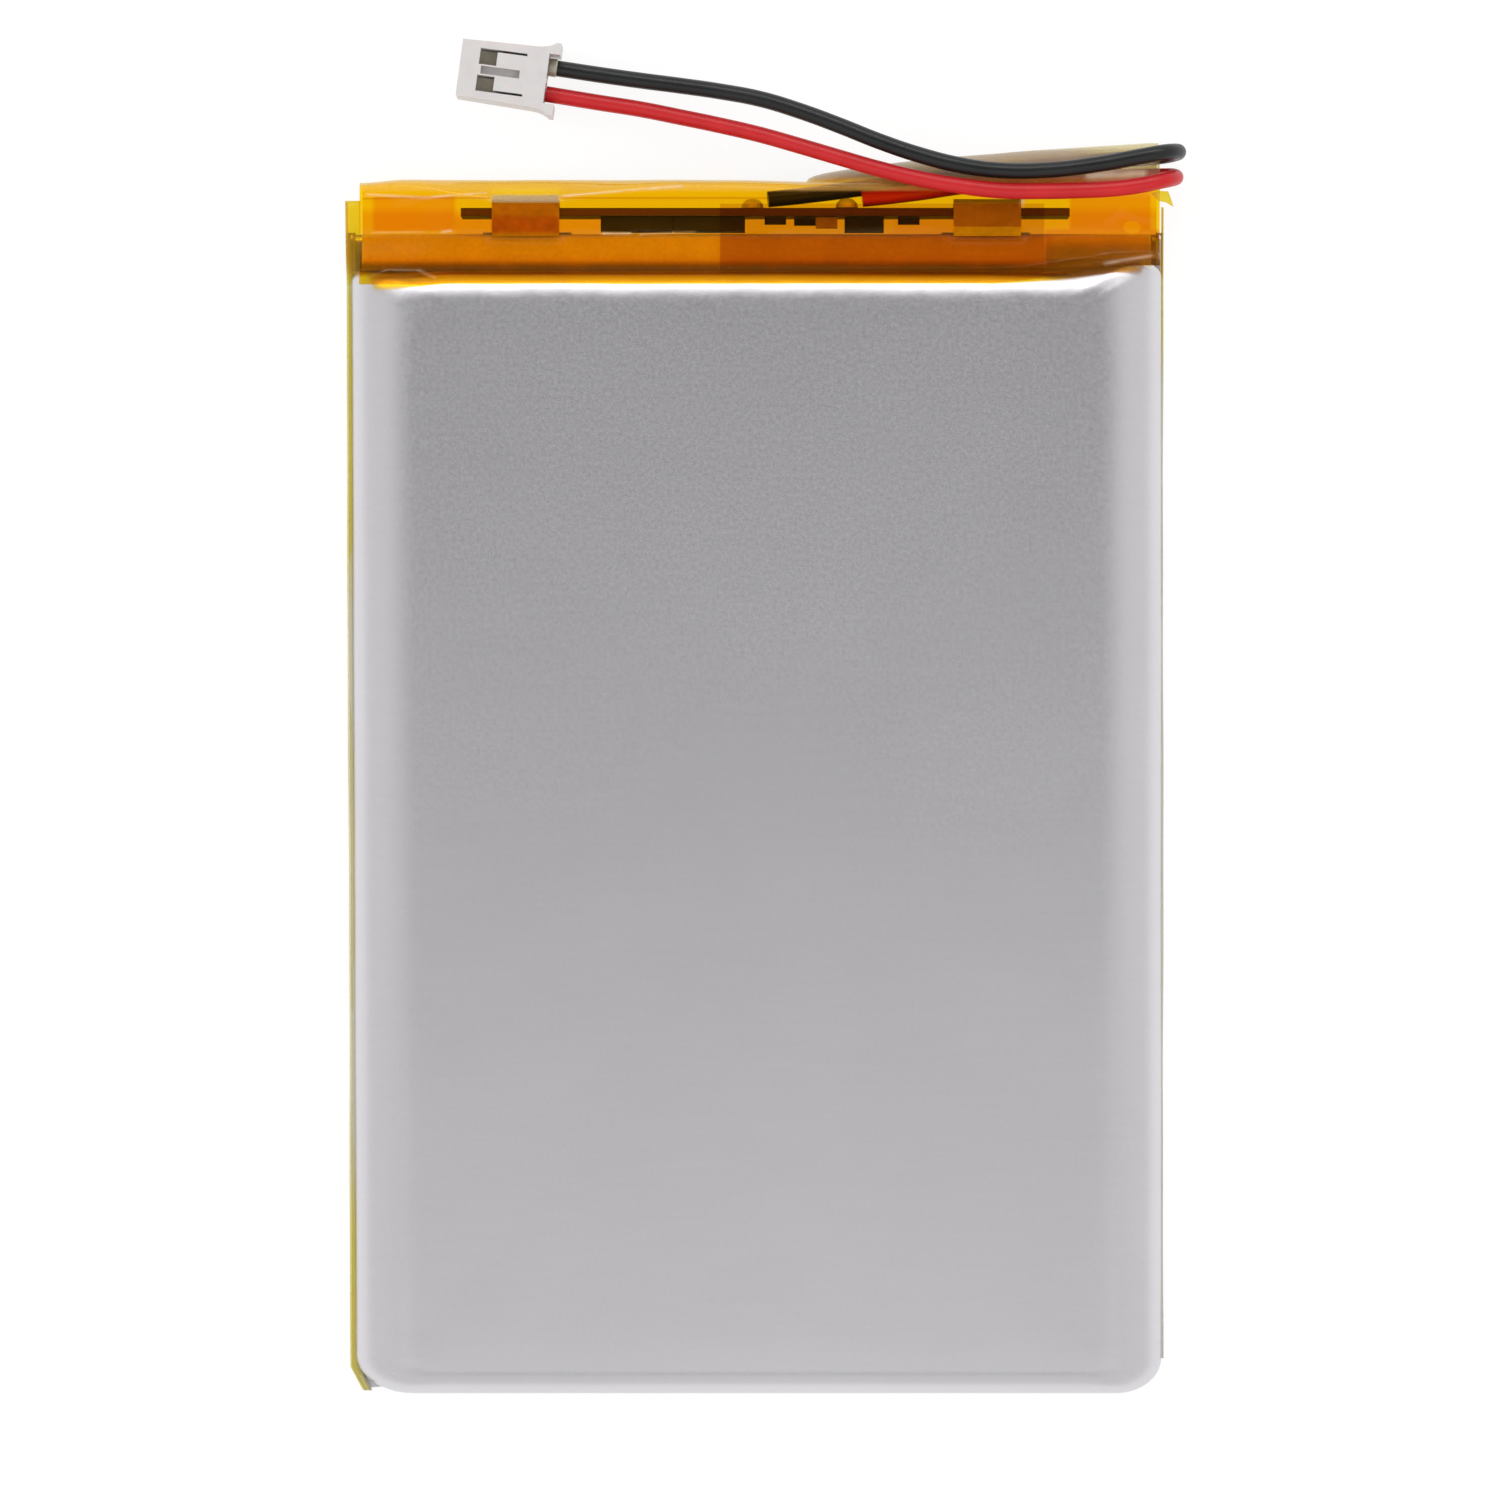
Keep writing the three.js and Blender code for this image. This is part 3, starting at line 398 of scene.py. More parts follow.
# The foam between the cell's end wall and the board
FOAM_START = 83.32
FOAM_TOP = 4.56
FOAM_ROUND = 0.45
FOAM_REACH = 0.35
FOAM_COLUMNS = 240
FOAM_UPPER = (2, 4)
FOAM_LOWER = (1.1, 2.5)
FOAM_LEVELS = (2, 3)
FOAM_WAVES = [(0.05, 7, 11), (0.03, 1.1, 12)]
FOAM_SIDE_WAVES = [(0.04, 5, 13)]

# How far the dark block of painted shade between the transistors reaches into their sides, and stays short
# of their backs and tops
GAP_SHADE_REACH = 0.1
GAP_SHADE_SHORT = 0.05
GAP_SHADE_BELOW = 0.04
# Plain looks of CAD pieces: material, darkest and lightest tone, least and greatest roughness,
# other settings, how wide the pieces' edges are rounded, and the pieces
PLAIN_LOOKS = [
    ("nickel", (0.56, 0.52, 0.46), (0.7, 0.66, 0.6), 0.35, 0.5,
     {"size": 0.4, "relief": 0.002, "Metallic": 0.5}, 0.03,
     ["negative_nickel_plate", "positive_nickel_plate"]),
    ("solder", (0.62, 0.6, 0.57), (0.8, 0.78, 0.74), 0.35, 0.5, {"Metallic": 0.3}, None,
     ["black_lead_solder", "red_lead_solder"]),
    ("chip_plastic", (0.008, 0.008, 0.009), (0.016, 0.016, 0.016), 0.5, 0.7, {}, 0.05,
     ["power_transistor_left", "power_transistor_right", "protection_chip", "gate_resistor",
      "sense_resistor", "supply_resistor"]),
    ("capacitor_ceramic", (0.36, 0.24, 0.14), (0.5, 0.36, 0.22), 0.4, 0.55, {}, 0.05,
     ["filter_capacitor"]),
    ("seal_film", (0.84, 0.82, 0.72), (0.9, 0.88, 0.8), 0.35, 0.5, {}, None,
     ["negative_tab_seal_film", "positive_tab_seal_film"]),
    ("anode_coating", (0.02, 0.02, 0.022), (0.035, 0.035, 0.04), 0.75, 0.9, {}, None,
     ["anode_strip"]),
    ("cathode_coating", (0.012, 0.012, 0.014), (0.024, 0.024, 0.026), 0.7, 0.85, {}, None,
     ["cathode_strip"]),
    ("separator_film", (0.85, 0.85, 0.83), (0.92, 0.92, 0.9), 0.5, 0.65, {}, None,
     ["inner_separator", "outer_separator"]),
    ("inner_tape", (0.45, 0.5, 0.1), (0.55, 0.6, 0.16), 0.25, 0.35, {}, None,
     ["roll_closing_tape", "negative_weld_tape", "positive_weld_tape"]),
]
# Most of a noise texture's values lie between these
NOISE_LOW = 0.3
NOISE_HIGH = 0.7
EDGE_SEGMENTS = 3
EDGE_ANGLE = 35


# Points and meshes


def framed(points):
    """Drawn points in millimetres as an array of points in the frame, in metres."""
    moved = np.array(points, float) * MM
    moved[..., 1] += BOTTOM_EDGE
    return moved


def lerp(a, b, share):
    return a + (b - a) * share


def smooth(low, high, value):
    share = np.clip((np.asarray(value, float) - low) / (high - low), 0, 1)
    return share * share * (3 - 2 * share)


def waves(points, size, seed):
    """Smooth noise from -1 to 1 at drawn points, with features of about that size."""
    flat = np.asarray(points, float).reshape(-1, 3)
    values = [noise.noise(Vector(p) / size + Vector((seed, seed, seed))) for p in flat]
    return np.array(values).reshape(np.asarray(points).shape[:-1])


def waviness(points, kinds):
    """The sum of several kinds of smooth noise, each given as (height, size, seed)."""
    return sum(height * waves(points, size, seed) for height, size, seed in kinds)


def window(fades, value):
    """A share that comes in and goes out again along a value, as two pairs say."""
    come, go = fades
    return smooth(*come, value) * smooth(*go, value)


def new_piece(name, points, faces, material):
    mesh = bpy.data.meshes.new(name)
    mesh.from_pydata(framed(points).reshape(-1, 3).tolist(), [], faces)
    mesh.validate()
    mesh.shade_smooth()
    mesh.materials.append(material)
    piece = bpy.data.objects.new(name, mesh)
    bpy.context.scene.collection.objects.link(piece)
    return piece


def new_sheet(name, points, material):
    """A piece from a grid of points."""
    return new_piece(name, points, grid_faces(*points.shape[:2]), material)


def settle(piece, slot, *nodes):
    """Ties a piece to the frame, in place of the CAD nodes named. slot is not used."""
    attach(piece, "root")
    if nodes:
        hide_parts(*nodes)


def outward(piece):
    """Turns a closed mesh's faces outwards."""
    grid = bmesh.new()
    grid.from_mesh(piece.data)
    bmesh.ops.recalc_face_normals(grid, faces=grid.faces)
    grid.to_mesh(piece.data)
    grid.free()


def new_tube(name, points, material):
    """A closed solid from rings of points, with a face over each end."""
    rings, sides = points.shape[:2]
    count = rings * sides
    faces = grid_faces(rings, sides, closed=True)
    faces += [tuple(range(sides)), tuple(range(count - sides, count))]
    tube = new_piece(name, points, faces, material)
    outward(tube)
    return tube


def grid_faces(rows, columns, closed=False):
    """Quads of a grid of points whose row-major order is rows by columns."""
    last = columns if closed else columns - 1
    faces = []
    for row in range(rows - 1):
        for column in range(last):
            after = (column + 1) % columns
            here = row * columns
            faces.append((here + column, here + after, here + columns + after, here + columns + column))
    return faces


def thicken(piece, thickness, offset):
    modifier = piece.modifiers.new("thickness", "SOLIDIFY")
    modifier.thickness = thickness * MM
    modifier.offset = offset


def round_edges(piece, width):
    modifier = piece.modifiers.new("edges", "BEVEL")
    modifier.width = width * MM
    modifier.segments = EDGE_SEGMENTS
    modifier.limit_method = "ANGLE"
    modifier.angle_limit = math.radians(EDGE_ANGLE)
    modifier.harden_normals = False
    piece.data.shade_smooth()


# Materials


class Nodes:
    """A new node material, with a short way to add and link its nodes."""

    def __init__(self, name):
        self.material = bpy.data.materials.new(name)
        self.material.use_nodes = True
        self.tree = self.material.node_tree
        self.tree.nodes.clear()
        self.output = self.add("ShaderNodeOutputMaterial")
        self.place = self.add("ShaderNodeTexCoord").outputs["Object"]

    def add(self, kind, **settings):
        node = self.tree.nodes.new(kind)
        for key, value in settings.items():
            setattr(node, key, value)
        return node

    def link(self, source, target):
        self.tree.links.new(source, target)

    def put(self, value, socket):
        """Links a socket to another one, or gives it a plain value."""
        if isinstance(value, bpy.types.NodeSocket):
            self.link(value, socket)
        else:
            socket.default_value = value

    def noise(self, size, detail=3, roughness=0.5, stretch=(1, 1, 1)):
        """Noise with features of about size millimetres; a larger stretch makes them shorter."""
        mapping = self.add("ShaderNodeMapping")
        mapping.inputs["Scale"].default_value = stretch
        self.link(self.place, mapping.inputs["Vector"])
        texture = self.add("ShaderNodeTexNoise")
        texture.inputs["Scale"].default_value = 1 / (size * MM)
        texture.inputs["Detail"].default_value = detail
        texture.inputs["Roughness"].default_value = roughness
        self.link(mapping.outputs["Vector"], texture.inputs["Vector"])
        return texture.outputs["Fac"]

    def ramp(self, value, stops):
        """Colours along a value; stops are (place, colour)."""
        node = self.add("ShaderNodeValToRGB")
        elements = node.color_ramp.elements
        while len(elements) < len(stops):
            elements.new(0.5)
        for element, (place, colour) in zip(elements, stops):
            element.position = place
            element.color = (*colour, 1)
        self.link(value, node.inputs["Fac"])
        return node.outputs["Color"]

    def range(self, value, low, high):
        """A noise value brought into the range low to high."""
        node = self.add("ShaderNodeMapRange")
        node.inputs["From Min"].default_value = NOISE_LOW
        node.inputs["From Max"].default_value = NOISE_HIGH
        node.inputs["To Min"].default_value = low
        node.inputs["To Max"].default_value = high
        self.link(value, node.inputs["Value"])
        return node.outputs["Result"]

    def math(self, operation, *values):
        node = self.add("ShaderNodeMath", operation=operation)
        for socket, value in zip(node.inputs, values):
            self.put(value, socket)
        return node.outputs[0]

    def blended(self, *sources):
        """Two colours blended by a share: the share, the first and the second."""
        node = self.add("ShaderNodeMixRGB")
        for socket, source in zip(node.inputs, sources):
            self.link(source, socket)
        return node.outputs["Color"]

    def bump(self, height, depth, strength=1):
        """A normal from a height of 0 to 1 that stands for depth millimetres."""
        node = self.add("ShaderNodeBump")
        node.inputs["Strength"].default_value = strength
        node.inputs["Distance"].default_value = depth * MM
        self.link(height, node.inputs["Height"])
        return node.outputs["Normal"]

    def mixed(self, *sources):
        """Two shaders mixed by a share: the share, the first and the second."""
        node = self.add("ShaderNodeMixShader")
        for socket, source in zip(node.inputs, sources):
            self.link(source, socket)
        return node.outputs[0]

    def surface(self, colour, roughness, normal=None, **settings):
        """A Principled shader. roughness is a plain value or a socket."""
        node = self.add("ShaderNodeBsdfPrincipled")
        self.link(colour, node.inputs["Base Color"])
        self.put(roughness, node.inputs["Roughness"])
        if normal is not None:
            self.link(normal, node.inputs["Normal"])
        for name, value in settings.items():
            node.inputs[name.replace("_", " ")].default_value = value
        return node.outputs["BSDF"]

    def done(self, shader):
        self.link(shader, self.output.inputs["Surface"])
        return self.material


def laminate_material():
    """Satin nylon over aluminium foil: fine grain, faint cross streaks and slow tone changes."""
    nodes = Nodes("pouch_laminate")
    grain = nodes.noise(0.3, detail=4, roughness=0.65)
    streaks = nodes.noise(1.4, detail=3, stretch=(0.25, 2.5, 1))
    blotches = nodes.noise(14, detail=2)
    tone = nodes.math("ADD", nodes.math("MULTIPLY", grain, 0.5), nodes.math("MULTIPLY", streaks, 0.2))
    tone = nodes.math("ADD", tone, nodes.math("MULTIPLY", blotches, 0.3))
    colour = nodes.ramp(tone, [(0.35, (0.65, 0.635, 0.66)), (0.65, (0.69, 0.675, 0.7))])
    roughness = nodes.range(grain, 0.35, 0.41)
    normal = nodes.bump(grain, 0.005, 0.5)
    return nodes.done(nodes.surface(colour, roughness, normal, Metallic=1))


def film_material(name, gloss_roughness, gloss=0.008):
    """Clear coloured film. The mesh holds its tint, film_tint, how milky it is and the milk's colour, which
    also carry painted shade and highlights.
    """
    nodes = Nodes(name)
    tint = nodes.add("ShaderNodeAttribute", attribute_name="film_tint")
    clear = nodes.add("ShaderNodeBsdfTransparent")
    nodes.link(tint.outputs["Color"], clear.inputs["Color"])
    ripple = nodes.noise(2.2, detail=2)
    normal = nodes.bump(ripple, 0.03, 0.6)
    dust = nodes.noise(0.5, detail=3)
    body = nodes.add("ShaderNodeBsdfDiffuse")
    milk = nodes.add("ShaderNodeAttribute", attribute_name="film_milk_and_painted_light")
    nodes.link(milk.outputs["Color"], body.inputs["Color"])
    milky = nodes.add("ShaderNodeAttribute", attribute_name="film_haze_and_painted_light").outputs["Fac"]
    haze = nodes.math("MULTIPLY", milky, nodes.range(ripple, 0.85, 1.15))
    film = nodes.mixed(haze, clear.outputs[0], body.outputs[0])
    shine = nodes.add("ShaderNodeBsdfGlossy")
    nodes.link(nodes.range(dust, gloss_roughness * 0.8, gloss_roughness * 1.2), shine.inputs["Roughness"])
    nodes.link(normal, shine.inputs["Normal"])
    facing = nodes.add("ShaderNodeLayerWeight")
    facing.inputs["Blend"].default_value = 0.5
    nodes.link(normal, facing.inputs["Normal"])
    edge = nodes.math("POWER", facing.outputs["Facing"], 2)
    share = nodes.math("MULTIPLY_ADD", edge, 0.5, gloss)
    share = nodes.math("MULTIPLY", share, milk.outputs["Alpha"])
    return nodes.done(nodes.mixed(share, film, shine.outputs[0]))


def wire_material(name, dark, light, shine):
    """Glossy insulation with slight tone changes and shallow unevenness."""
    nodes = Nodes(name)
    patches = nodes.noise(2.5, detail=3)
    fine = nodes.noise(0.15, detail=3)
    colour = nodes.ramp(patches, [(0.3, dark), (0.7, light)])
    roughness = nodes.range(fine, 0.3, 0.42)
    normal = nodes.bump(fine, 0.008, 0.3)
    return nodes.done(nodes.surface(colour, roughness, normal, Specular_IOR_Level=shine))


def plug_material():
    """Natural white nylon: slightly see-through, with a fine moulded grain."""
    nodes = Nodes("plug_plastic")
    grain = nodes.noise(0.12, detail=3)
    patches = nodes.noise(1.5, detail=2)
    colour = nodes.ramp(patches, [(0.3, (0.66, 0.63, 0.62)), (0.7, (0.7, 0.67, 0.66))])
    roughness = nodes.range(grain, 0.4, 0.52)
    normal = nodes.bump(grain, 0.012, 0.4)
    shader = nodes.surface(colour, roughness, normal, Subsurface_Weight=0.25, Subsurface_Scale=0.4 * MM)
    return nodes.done(shader)


def aluminium_material():
    """Rolled aluminium, with drawn lines."""
    nodes = Nodes("bare_aluminium")
    lines = nodes.noise(0.25, detail=4, stretch=(1, 0.2, 1))
    stains = nodes.noise(1.8, detail=3)
    colour = nodes.ramp(stains, [(0.3, (0.74, 0.74, 0.75)), (0.7, (0.82, 0.82, 0.83))])
    roughness = nodes.range(lines, 0.3, 0.45)
    normal = nodes.bump(lines, 0.01, 0.4)
    return nodes.done(nodes.surface(colour, roughness, normal, Metallic=1))


def plain_material(name, dark, light, low, high, size=0.2, relief=0.01, **settings):
    """A matt or moulded surface with fine grain and uneven tone."""
    nodes = Nodes(name)
    grain = nodes.noise(size, detail=4)
    patches = nodes.noise(size * 8, detail=2)
    tone = nodes.math("MULTIPLY_ADD", grain, 0.5, nodes.math("MULTIPLY", patches, 0.5))
    colour = nodes.ramp(tone, [(0.35, dark), (0.65, light)])
    roughness = nodes.range(grain, low, high)
    normal = nodes.bump(grain, relief, 0.5)
    return nodes.done(nodes.surface(colour, roughness, normal, **settings))


def board_material():
    """Green solder mask on the faces, and the brown glass-fibre core along the edges."""
    low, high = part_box("circuit_board")
    nodes = Nodes("circuit_board")
    weave = nodes.noise(0.12, detail=3, stretch=(1, 4, 1))
    axes = nodes.add("ShaderNodeSeparateXYZ")
    nodes.link(nodes.place, axes.inputs[0])
    off_middle = nodes.math("ABSOLUTE", nodes.math("SUBTRACT", axes.outputs["Y"], (low.y + high.y) / 2))
    mask = nodes.math("GREATER_THAN", off_middle, (high.y - low.y) / 2 - 0.04 * MM)
    core = nodes.ramp(weave, [(0.3, (0.08, 0.024, 0.01)), (0.7, (0.13, 0.04, 0.016))])
    green = nodes.ramp(weave, [(0.3, (0.012, 0.04, 0.018)), (0.7, (0.025, 0.07, 0.03))])
    colour = nodes.blended(mask, core, green)
    roughness = nodes.range(weave, 0.4, 0.6)
    return nodes.done(nodes.surface(colour, roughness, nodes.bump(weave, 0.01, 0.4)))


# Camera, floor and light


def make_camera():
    data = bpy.data.cameras.new("camera")
    data.sensor_width = CAMERA_SENSOR
    data.lens = CAMERA_LENS
    data.clip_start = CAMERA_NEAR * MM
    camera = bpy.data.objects.new("camera", data)
    camera.location = Vector(framed([CAMERA_X, CAMERA_Y, CAMERA_HEIGHT]))
    bpy.context.scene.collection.objects.link(camera)
    bpy.context.scene.camera = camera


def make_floor():
    """White acrylic, lit from below as on a light table."""
    nodes = Nodes("floor_acrylic")
    tone = nodes.ramp(nodes.noise(40, detail=2), [(0.3, (0.19, 0.19, 0.19)), (0.7, (0.21, 0.21, 0.21))])
    glow = {"Emission_Color": (1, 1, 1, 1), "Emission_Strength": FLOOR_GLOW}
    material = nodes.done(nodes.surface(tone, 0.8, **glow))
    corners = [(x * FLOOR_HALF, y * FLOOR_HALF, 0) for x, y in ((-1, -1), (1, -1), (1, 1), (-1, 1))]
    floor = new_piece("floor", corners, [(0, 1, 2, 3)], material)


def make_world():
    """A white tent, with a darker round overhead as where a camera looks in."""
    world = bpy.data.worlds.new("tent")
    world.use_nodes = True
    tree = world.node_tree
    tree.nodes.clear()
    direction = tree.nodes.new("ShaderNodeTexCoord").outputs["Generated"]
    axes = tree.nodes.new("ShaderNodeSeparateXYZ")
    tree.links.new(direction, axes.inputs[0])
    patch = tree.nodes.new("ShaderNodeMapRange")
    patch.interpolation_type = "SMOOTHSTEP"
    patch.inputs["From Min"].default_value = SKY_PATCH_EDGE
    patch.inputs["From Max"].default_value = SKY_PATCH_CORE
    patch.inputs["To Min"].default_value = SKY
    patch.inputs["To Max"].default_value = SKY_PATCH
    tree.links.new(axes.outputs["Z"], patch.inputs["Value"])
    background = tree.nodes.new("ShaderNodeBackground")
    tree.links.new(patch.outputs["Result"], background.inputs["Strength"])
    output = tree.nodes.new("ShaderNodeOutputWorld")
    tree.links.new(background.outputs[0], output.inputs["Surface"])
    bpy.context.scene.world = world


def make_lamps():
    """The gloss lamps make reflections only, and the body lamp only lights matt surfaces."""
    for name, place, (across, along), power, target, lights in LAMPS:
        data = bpy.data.lights.new(name, "AREA")
        data.shape = "RECTANGLE"
        data.size = across * MM
        data.size_y = along * MM
        data.energy = power
        lamp = bpy.data.objects.new(name, data)
        lamp.location = Vector(framed(place))
        facing = Vector(framed(target)) - lamp.location
        lamp.rotation_euler = facing.to_track_quat("-Z", "Y").to_euler()
        lamp.visible_diffuse = lights == "body"
        lamp.visible_glossy = lights == "gloss"
        bpy.context.scene.collection.objects.link(lamp)


# Leads


def make_crimp(material):
    """The end of the black lead's crimp, which holds its insulation behind the plug."""
    turn = math.radians(PLUG_TURN)
    along = np.array([math.cos(turn), math.sin(turn), 0])
    across = np.array([-math.sin(turn), math.cos(turn), 0])
    up = np.array([0, 0, 1])
    start = np.array([*PLUG_POSITION, PIN_HEIGHT]) + across * PIN_OFFSET
    angles = np.linspace(0, 2 * math.pi, CRIMP_SIDES, endpoint=False)[:, None]
    spokes = across * np.cos(angles) + up * np.sin(angles)
    points = np.array([start + along * place + spokes * radius for place, radius in CRIMP_RINGS])
    crimp = new_tube("black_lead_crimp", points, material)
    settle(crimp, "tinned_metal")
    return crimp


def make_lead(name, route, material, node, slot, held):
    curve = bpy.data.curves.new(name, "CURVE")
    curve.dimensions = "3D"
    curve.resolution_u = LEAD_STEPS
    curve.bevel_depth = LEAD_DIAMETER / 2 * MM
    curve.bevel_resolution = LEAD_ROUNDNESS
    curve.use_fill_caps = True
    spline = curve.splines.new("BEZIER")
    spline.bezier_points.add(len(route) - 1)
    for point, place in zip(spline.bezier_points, framed(route)):
        point.co = place
        point.handle_left_type = "AUTO"
        point.handle_right_type = "AUTO"
    curve.materials.append(material)
    piece = bpy.data.objects.new(name, curve)
    bpy.context.scene.collection.objects.link(piece)
    settle(piece, slot, node)
    tuple(framed(route[0]))


def make_leads(tinned):
    black = wire_material("black_wire", (0.005, 0.006, 0.0055), (0.009, 0.0105, 0.0095), 0.4)
    red = wire_material("red_wire", (0.54, 0.006, 0.009), (0.62, 0.011, 0.015), 0.35)
    make_lead(
        "black_lead_wire", BLACK_ROUTE, black, "black_lead", "black_wire",
        ["black_plug_contact", make_crimp(tinned)],
    )
    make_lead(
        "red_lead_wire", RED_ROUTE, red, "red_lead", "red_wire", ["red_plug_contact"],
    )


# The pouch


def run_out(round_size, depth):
    """How far a round has run outwards at a depth below the front face."""
    across, down = round_size
    left = max(0, 1 - depth / down)
    return across * math.sqrt(1 - left * left)


def rounded_loop(left, right, start, end, corners):
    """A rectangle with elliptical corners, anticlockwise from the bottom right one, as (x, y)."""
    centres = [
        (right - corners[0][0], start + corners[0][1]),
        (right - corners[1][0], end - corners[1][1]),
        (left + corners[2][0], end - corners[2][1]),
        (left + corners[3][0], start + corners[3][1]),
    ]
    arcs = []
    for turn, ((x, y), (across, along)) in enumerate(zip(centres, corners)):
        angles = np.radians(np.linspace(-90, 0, CORNER_STEPS + 1) + 90 * turn)
        arcs.append(np.column_stack([x + across * np.cos(angles), y + along * np.sin(angles)]))
    points = []
    for turn, arc in enumerate(arcs):
        after = arcs[(turn + 1) % 4]
        shares = np.linspace(0, 1, SIDE_STEPS[turn] + 1)[1:-1, None]
        points.append(arc)
        points.append(arc[-1] + (after[0] - arc[-1]) * shares)
    return np.vstack(points)


def cup_loop(depth, inset=0):
    """The cup's outline at a depth below the front face, as points (x, y, z)."""
    side = run_out(SIDE_ROUND, depth)
    share = side / SIDE_ROUND[0]
    wall = max(0, depth - SHOULDER_ROUND[1]) * WALL_LEAN
    corners = [
        (lerp(a, c, share) + inset * CORNER_EASE, lerp(b, d, share) + inset * CORNER_EASE)
        for (a, b), (c, d) in zip(FRONT_CORNERS, FOOT_CORNERS)
    ]
    flat = rounded_loop(
        BODY_LEFT + SIDE_ROUND[0] - side + inset,
        BODY_RIGHT - SIDE_ROUND[0] + side - inset,
        BOTTOM_ROUND[0] - run_out(BOTTOM_ROUND, depth) + inset,
        FLAT_END + run_out(SHOULDER_ROUND, depth) + wall - inset,
        corners,
    )
    crown = CROWN_DROP * max(0, 1 - inset / CROWN_WIDTH) ** 3
    height = np.full((len(flat), 1), FRONT_Z - depth - crown * (depth == 0) - CROWN_DROP * (depth > 0))
    return np.hstack([flat, height])


def shoulder_sag(points):
    """Draws the shoulder in near its two ends."""
    x, y, z = points[:, 0], points[:, 1], points[:, 2]
    near_end = smooth(*SAG_Y, y) * smooth(*SAG_Z, z)
    for place, along, down in SAGS:
        share = near_end * smooth(*place, x)
        points[:, 1] -= share * along
        points[:, 2] -= share * down


def lean_left(points):
    """Moves the cup's left wall out towards the end with the board, as its flap leans."""
    wall = smooth(*LEAN_X, -points[:, 0])
    points[:, 0] -= LEFT_LEAN * wall * points[:, 1] / LEAN_END


def near_line(points, start, end, width):
    """How near points are to a line given as (x, y), and their share of the way along it."""
    along = np.array(end, float) - start
    offset = points[:, :2] - start
    share = np.clip(offset @ along / (along @ along), 0, 1)
    distance = np.linalg.norm(offset - share[:, None] * along, axis=1)
    return np.exp(-((distance / width) ** 2)), share


def ridge(points, start, end, width, height):
    """Raises a soft fold along the line from start to end."""
    near, share = near_line(points, start, end, width)
    points[:, 2] += height * near * np.sin(np.pi * np.clip(share, *RIDGE_ENDS)) ** 0.5


def make_pouch_front(material):
    depths = [SIDE_ROUND[1] * (1 - math.cos(i / ROUND_STEPS * math.pi / 2)) for i in range(ROUND_STEPS + 1)]
    walls = [lerp(SIDE_ROUND[1], FOOT_DEPTH, share) for share in WALL_SHARES]
    loops = [cup_loop(0, inset) for inset in reversed(FACE_INSETS)]
    loops += [cup_loop(depth) for depth in depths + walls]
    points = np.array(loops)
    flat = points.reshape(-1, 3)
    shoulder_sag(flat)
    lean_left(flat)
    flat[:, 2] += smooth(*FACE_Z, flat[:, 2]) * waviness(flat, FACE_WAVES)
    upper = smooth(*UPPER_Y, flat[:, 1]) * smooth(*UPPER_Z, flat[:, 2])
    flat[:, 2] += upper * waviness(flat, UPPER_WAVES)
    for start, end, width, height in SHOULDER_FOLDS:
        ridge(flat, start, end, width, height)
    count = points.shape[1]
    faces = [tuple(range(count))]
    faces += grid_faces(len(loops), count, closed=True)
    cup = new_piece("pouch_cup", points, faces, material)
    outward(cup)
    return cup


def leaf_distance(side, distances, y):
    """How far out a leaf's foot stands at a height y. side is 0 for the left and 1 for the right."""
    distance = np.full_like(y, distances[side])
    if side == 0:
        distance += LEFT_LEAN * y / LEAN_END - TIP_TURN * np.clip(TIP_BEND - y, 0, None)
    return distance + sum(width * np.sin(y / length + side * on) for width, length, on in LEAF_WAVES)


def leaf_section(low, top, curl=None):
    """A leaf's section as (run in from its distance, z), from its foot to its upper edge.

    curl is how far the upper edge then turns in against the cup.
    """
    turn = LEAF_TURN
    angles = np.radians(LEAF_TURN_ANGLES)
    bend = [(turn - turn * math.cos(a), low + turn - turn * math.sin(a)) for a in angles]
    upright = [(0, z) for z in np.linspace(low + turn, top, LEAF_HEIGHTS)[1:]]
    over = [(curl * share, top + rise) for share, rise in CURL_STEPS] if curl else []
    return np.array(bend + upright + over)


def leaf_points(side, distances, y, section, top_wave):
    """A leaf's points, with a row for each y and a column for each point of its section."""
    sign = (-1, 1)[side]
    distance = leaf_distance(side, distances, y)[:, None]
    inset, height = section[:, 0][None, :], section[:, 1][None, :]
    share = (height - section[0, 1]) / (section[-1, 1] - section[0, 1])
    long, short = LEAF_TOP_WAVES
    rise = top_wave * (np.sin(y / long + side) + np.sin(y / short) / 2)[:, None]
    x = sign * (distance - inset)
    z = height + rise * share
    return np.dstack([x, np.broadcast_to(y[:, None], x.shape), z])


def flap_rows(start, end, count):
    """Heights along a flap, closer together near the bottom corner."""
    near = np.linspace(start, start + NEAR_CORNER, NEAR_ROWS)
    return np.concatenate([near, np.linspace(start + NEAR_CORNER, end, count)[1:]])


def bottom_outline(x):
    """The back sheet's bottom edge at each x."""
    outline = np.array(SHEET_BOTTOM)
    return np.interp(x, outline[:, 0], outline[:, 1])


